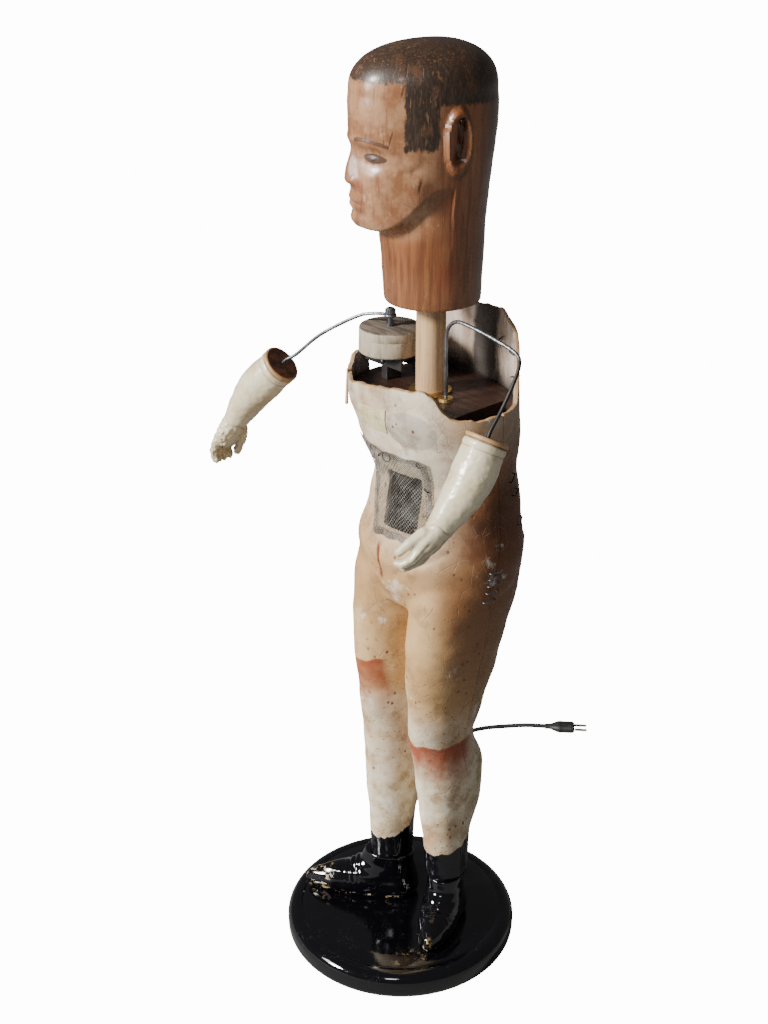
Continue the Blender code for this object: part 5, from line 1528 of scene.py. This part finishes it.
def make_puck():
    low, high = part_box("shoulder_puck")
    middle = (low + high) / 2
    radius = (high.x - low.x) / 2
    thick = high.z - low.z
    profile = [(0.0031, 0.0), (radius - 0.0012, 0.0), (radius - 0.0003, 0.0009), (radius, 0.0020)]
    profile += [(radius, thick * 0.62), (radius - 0.0005, thick * 0.64), (radius, thick * 0.66)]
    profile += [(radius, thick - 0.0018), (radius - 0.0006, thick - 0.0006), (radius - 0.0016, thick)]
    profile += [(0.0031, thick)]
    shape = lathe(profile, Vector((middle.x, middle.y, low.z)), UP, 96, closed=True)
    for vert in shape.verts:
        out = vert.co - middle
        if out.xy.length > 0.02:
            vert.co.xy += out.xy.normalized() * 0.0006 * noise.noise(vert.co * 65)
    finished("puck_round", shape, puck_finish(), "body", True, 40, ("shoulder_puck",))


def make_dowel():
    low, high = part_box("neck_dowel")
    middle = (low + high) / 2
    radius = (high.x - low.x) / 2
    long = high.z - low.z
    profile = [(0.0, 0.0), (radius - 0.001, 0.0), (radius, 0.001)]
    profile += [(radius, long * i / 24) for i in range(1, 24)]
    profile += [(radius, long - 0.001), (radius - 0.001, long), (0.0, long)]
    shape = lathe(profile, Vector((middle.x, middle.y, low.z)), UP, 72)
    finished("dowel_round", shape, DOWEL_WOOD, "head_and_dowel", True, 40, ("neck_dowel",))


def plain_finish(name, colour, dirt, rough=0.5, metal=0.0, scale=60, depth=0.0003):
    made = Finish(name, rough, metal)
    age = made.cloud(scale, 5, 0.65)
    made.colour(made.mix(colour, dirt, age.ease(0.42, 0.72)))
    made.rough(rough + (age - 0.5) * 0.3).bump(made.cloud(scale * 6, 3), depth, 0.5)
    return made


def tape_finish():
    made = Finish("old_paper_tape", 0.55)
    age = made.cloud(60, 5, 0.65)
    weave = made.cloud(600, 3, 0.6, (1, 1, 0.2))
    colour = made.mix((0.60, 0.54, 0.32), (0.44, 0.36, 0.19), age.ease(0.40, 0.66))
    colour = made.mix(colour, (0.66, 0.62, 0.50), made.cloud(140, 4, shift=(1, 1, 1)).ease(0.58, 0.68) * 0.6)
    made.colour(colour)
    made.rough(0.5 + age * 0.2).bump(weave * 0.5 + age, 0.0006, 0.5)
    return made


def speaker_finish():
    made = Finish("speaker_paper", 0.85)
    age = made.cloud(80, 4, 0.6)
    made.colour(made.mix((0.014, 0.017, 0.013), (0.050, 0.055, 0.040), age.ease(0.35, 0.70)))
    made.bump(made.cloud(500, 4), 0.0004, 0.6)
    return made


def dress_the_rest():
    laminate = plain_finish("brown_laminate", (0.17, 0.075, 0.035), (0.07, 0.03, 0.016), 0.42)
    ivory = plain_finish("ivory_plastic", (0.62, 0.56, 0.42), (0.42, 0.34, 0.22), 0.4)
    iron = plain_finish("works_steel", (0.30, 0.30, 0.30), (0.14, 0.125, 0.115), 0.42, 0.85)
    dull = plain_finish("dull_works_steel", (0.16, 0.16, 0.165), (0.075, 0.068, 0.062), 0.5, 0.8)
    paper = speaker_finish()
    for names, finish in (
        (("chest_board", "waist_shelf"), BOARD_WOOD_IN_SHADE),
        (("shoulder_bracket", "speaker_frame"), BLACK_STEEL),
        (("bracket_rivet", "arm_spindle", "spindle_nut", "neck_motor_shaft"), STEEL),
        (("right_boot_screw", "left_boot_screw", "motor_strap"), dull),
        (("neck_motor", "mains_transformer", "speaker_magnet"), iron),
        (("left_wire_socket", "neck_bush"), BRASS),
        (("sound_board",), laminate),
        (("terminal_block",), ivory),
        (("speaker_cone",), paper),
        (("tape_patch",), tape_finish()),
    ):
        for name in names:
            dress(name, finish)


make_puck()
make_dowel()
dress_the_rest()


# ---------------------------------------------------------------- woven wire, staples and trim

MESH_CORNERS = ((30, 0.6760), (34, 0.5780), (-17, 0.5770), (-36, 0.6790))
MESH_WIDE = 0.092
MESH_TALL = 0.099
MESH_PITCH = 0.0030
MESH_WIRE = 0.00027


def on_mesh(across, up, lift):
    """A point over the belly: across and up run from 0 to 1 over the sheet of woven wire."""
    top_right, low_right, low_left, top_left = MESH_CORNERS
    sag = 0.0012 * math.sin(across * 23) + 0.0010 * math.sin(across * 9 + 1)
    angle = (low_left[0] * (1 - up) + top_left[0] * up) * (1 - across)
    angle += (low_right[0] * (1 - up) + top_right[0] * up) * across
    z = (low_left[1] * (1 - up) + top_left[1] * up) * (1 - across)
    z += (low_right[1] * (1 - up) + top_right[1] * up) * across
    return section(TORSO, z + sag * (2 * up - 1), angle / 360, lift)


def woven_routes(shift, lift, border=None):
    """Diagonal wires, each going over and under the ones it crosses."""
    routes = []
    step = MESH_PITCH / 4
    total = MESH_WIDE + MESH_TALL
    count = int(total / (MESH_PITCH * math.sqrt(2)))
    for direction in (1, -1):
        for i in range(count + 1):
            start = (i + shift) * MESH_PITCH * math.sqrt(2)
            run = []
            for j in range(int(MESH_TALL * math.sqrt(2) / step) + 1):
                along = j * step / math.sqrt(2)
                x = start - along if direction > 0 else start - MESH_TALL + along
                across, up = x / MESH_WIDE, along / MESH_TALL
                edge = min(x, MESH_WIDE - x, along, MESH_TALL - along)
                inside = 0 <= across <= 1 and 0 <= up <= 1 and (border is None or edge < border)
                if inside:
                    wave = math.cos(math.pi * (j / 4 + (i % 2))) * direction
                    run.append(on_mesh(across, up, lift + 0.00026 * wave))
                elif len(run) > 2:
                    routes.append(run)
                    run = []
                else:
                    run = []
            if len(run) > 2:
                routes.append(run)
    return routes


def mesh_finish():
    made = Finish("old_wire_cloth", 0.5, 0.55)
    age = made.cloud(70, 5, 0.65)
    colour = made.mix((0.30, 0.285, 0.26), (0.12, 0.105, 0.09), age.ease(0.38, 0.66))
    rust = made.cloud(110, 4, 0.7, shift=(0, 5, 0)).ease(0.62, 0.74)
    made.colour(made.mix(colour, (0.20, 0.085, 0.035), rust * 0.6))
    made.rough(0.45 + age * 0.25)
    return made


def make_mesh():
    finish = mesh_finish()
    routes = woven_routes(0.0, 0.0018)
    routes += woven_routes(0.5, 0.0024, 0.0065)
    rim = [(i / 40, 0.0) for i in range(40)] + [(1.0, i / 40) for i in range(40)]
    rim += [(1 - i / 40, 1.0) for i in range(40)] + [(0.0, 1 - i / 40) for i in range(41)]
    routes.append([on_mesh(across, up, 0.0022) for across, up in rim])
    inner = [(0.07 + 0.86 * a, 0.07 + 0.86 * u) for a, u in rim]
    routes.append([on_mesh(across, up, 0.0025) for across, up in inner])
    rod("woven_wire", routes, MESH_WIRE, finish, "body", 1, ("grille_mesh",))


def bent_staple(name, node, radius, finish):
    """Wire let into the shell at both ends, lying where the CAD's bar lies."""
    points = np.array([tuple(v.co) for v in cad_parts[node].data.vertices])
    middle = points.mean(axis=0)
    spread = np.linalg.svd(points - middle, full_matrices=False)[2]
    long = Vector(spread[0]).normalized()
    reach = float(np.abs((points - middle) @ spread[0]).max()) - radius
    middle = Vector(middle)
    axis = Vector((along_table(TORSO, middle.z, 1), along_table(TORSO, middle.z, 2), middle.z))
    out = middle - axis
    out = (out - long * out.dot(long)).normalized()
    bend = ((0.0, -0.0030), (0.0, -0.0008), (0.0004, 0.0001), (0.0014, 0.0004))
    route = [middle - long * (reach - back) + out * lift for back, lift in bend]
    route.append(middle + out * 0.0005)
    route += [middle + long * (reach - back) + out * lift for back, lift in reversed(bend)]
    rod(name, [route], radius, finish, "body", 3, (node,))


def make_trim():
    for i in range(1, 6):
        bent_staple(f"hip_wire_{i}", f"hip_staple_{i}", 0.0007, STEEL)
    for i in range(1, 4):
        bent_staple(f"side_wire_{i}", f"side_staple_{i}", 0.0007, DARK_WIRE)
    for i in range(1, 5):
        bent_staple(f"cloth_staple_{i}", f"grille_staple_{i}", 0.0006, DARK_WIRE)
    hung = on_mesh(0.52, 0.955, 0.0034)
    out = Vector((0.05, -1, 0)).normalized()
    side = out.cross(UP)
    ring = [
        hung + side * 0.0055 * math.cos(a) + UP * 0.0055 * math.sin(a)
        for a in (math.tau * i / 28 for i in range(28))
    ]
    rod("hung_ring", [ring], 0.00045, DARK_WIRE, "body", 2, (), True)
    foot = Vector((-0.0590, -0.0300, 0.7060))
    along_rim = Vector((0.73, -0.68, 0))
    out = Vector((-0.68, -0.73, 0))
    shape = bmesh.new()

    def place(turn, rise):
        angle = turn * math.tau
        wide = 0.0042 * (1 - 0.35 * rise) * math.cos(angle)
        deep = 0.0020 * (1 - 0.4 * rise) * math.sin(angle)
        lean = Vector((0.0010, 0.0010, 0.0)) * rise
        return foot + lean + along_rim * wide + out * deep + UP * 0.040 * rise

    skin(shape, 16, 24, place)
    finished("rim_sliver", shape, DOWEL_WOOD, "body", True, 60, ())
    for i, (x, z, tilt) in enumerate(((0.060, 0.783, 0.7), (0.090, 0.776, -0.4), (0.094, 0.752, 0.3))):
        y = section(TORSO, z, 0.5 - 0.125 * (x - 0.02) / 0.08, 0).y - WALL - 0.0040
        at = Vector((x, y, z))
        turn = Vector((math.cos(tilt), 0, math.sin(tilt)))
        route = [at - turn * 0.006 + Vector((0, 0.004, 0)), at - turn * 0.005, at + turn * 0.005,
                 at + turn * 0.006 + Vector((0, 0.004, 0))]
        rod(f"clenched_wire_{i + 1}", [route], 0.0006, DARK_WIRE, "body", 2, ())


make_mesh()
make_trim()
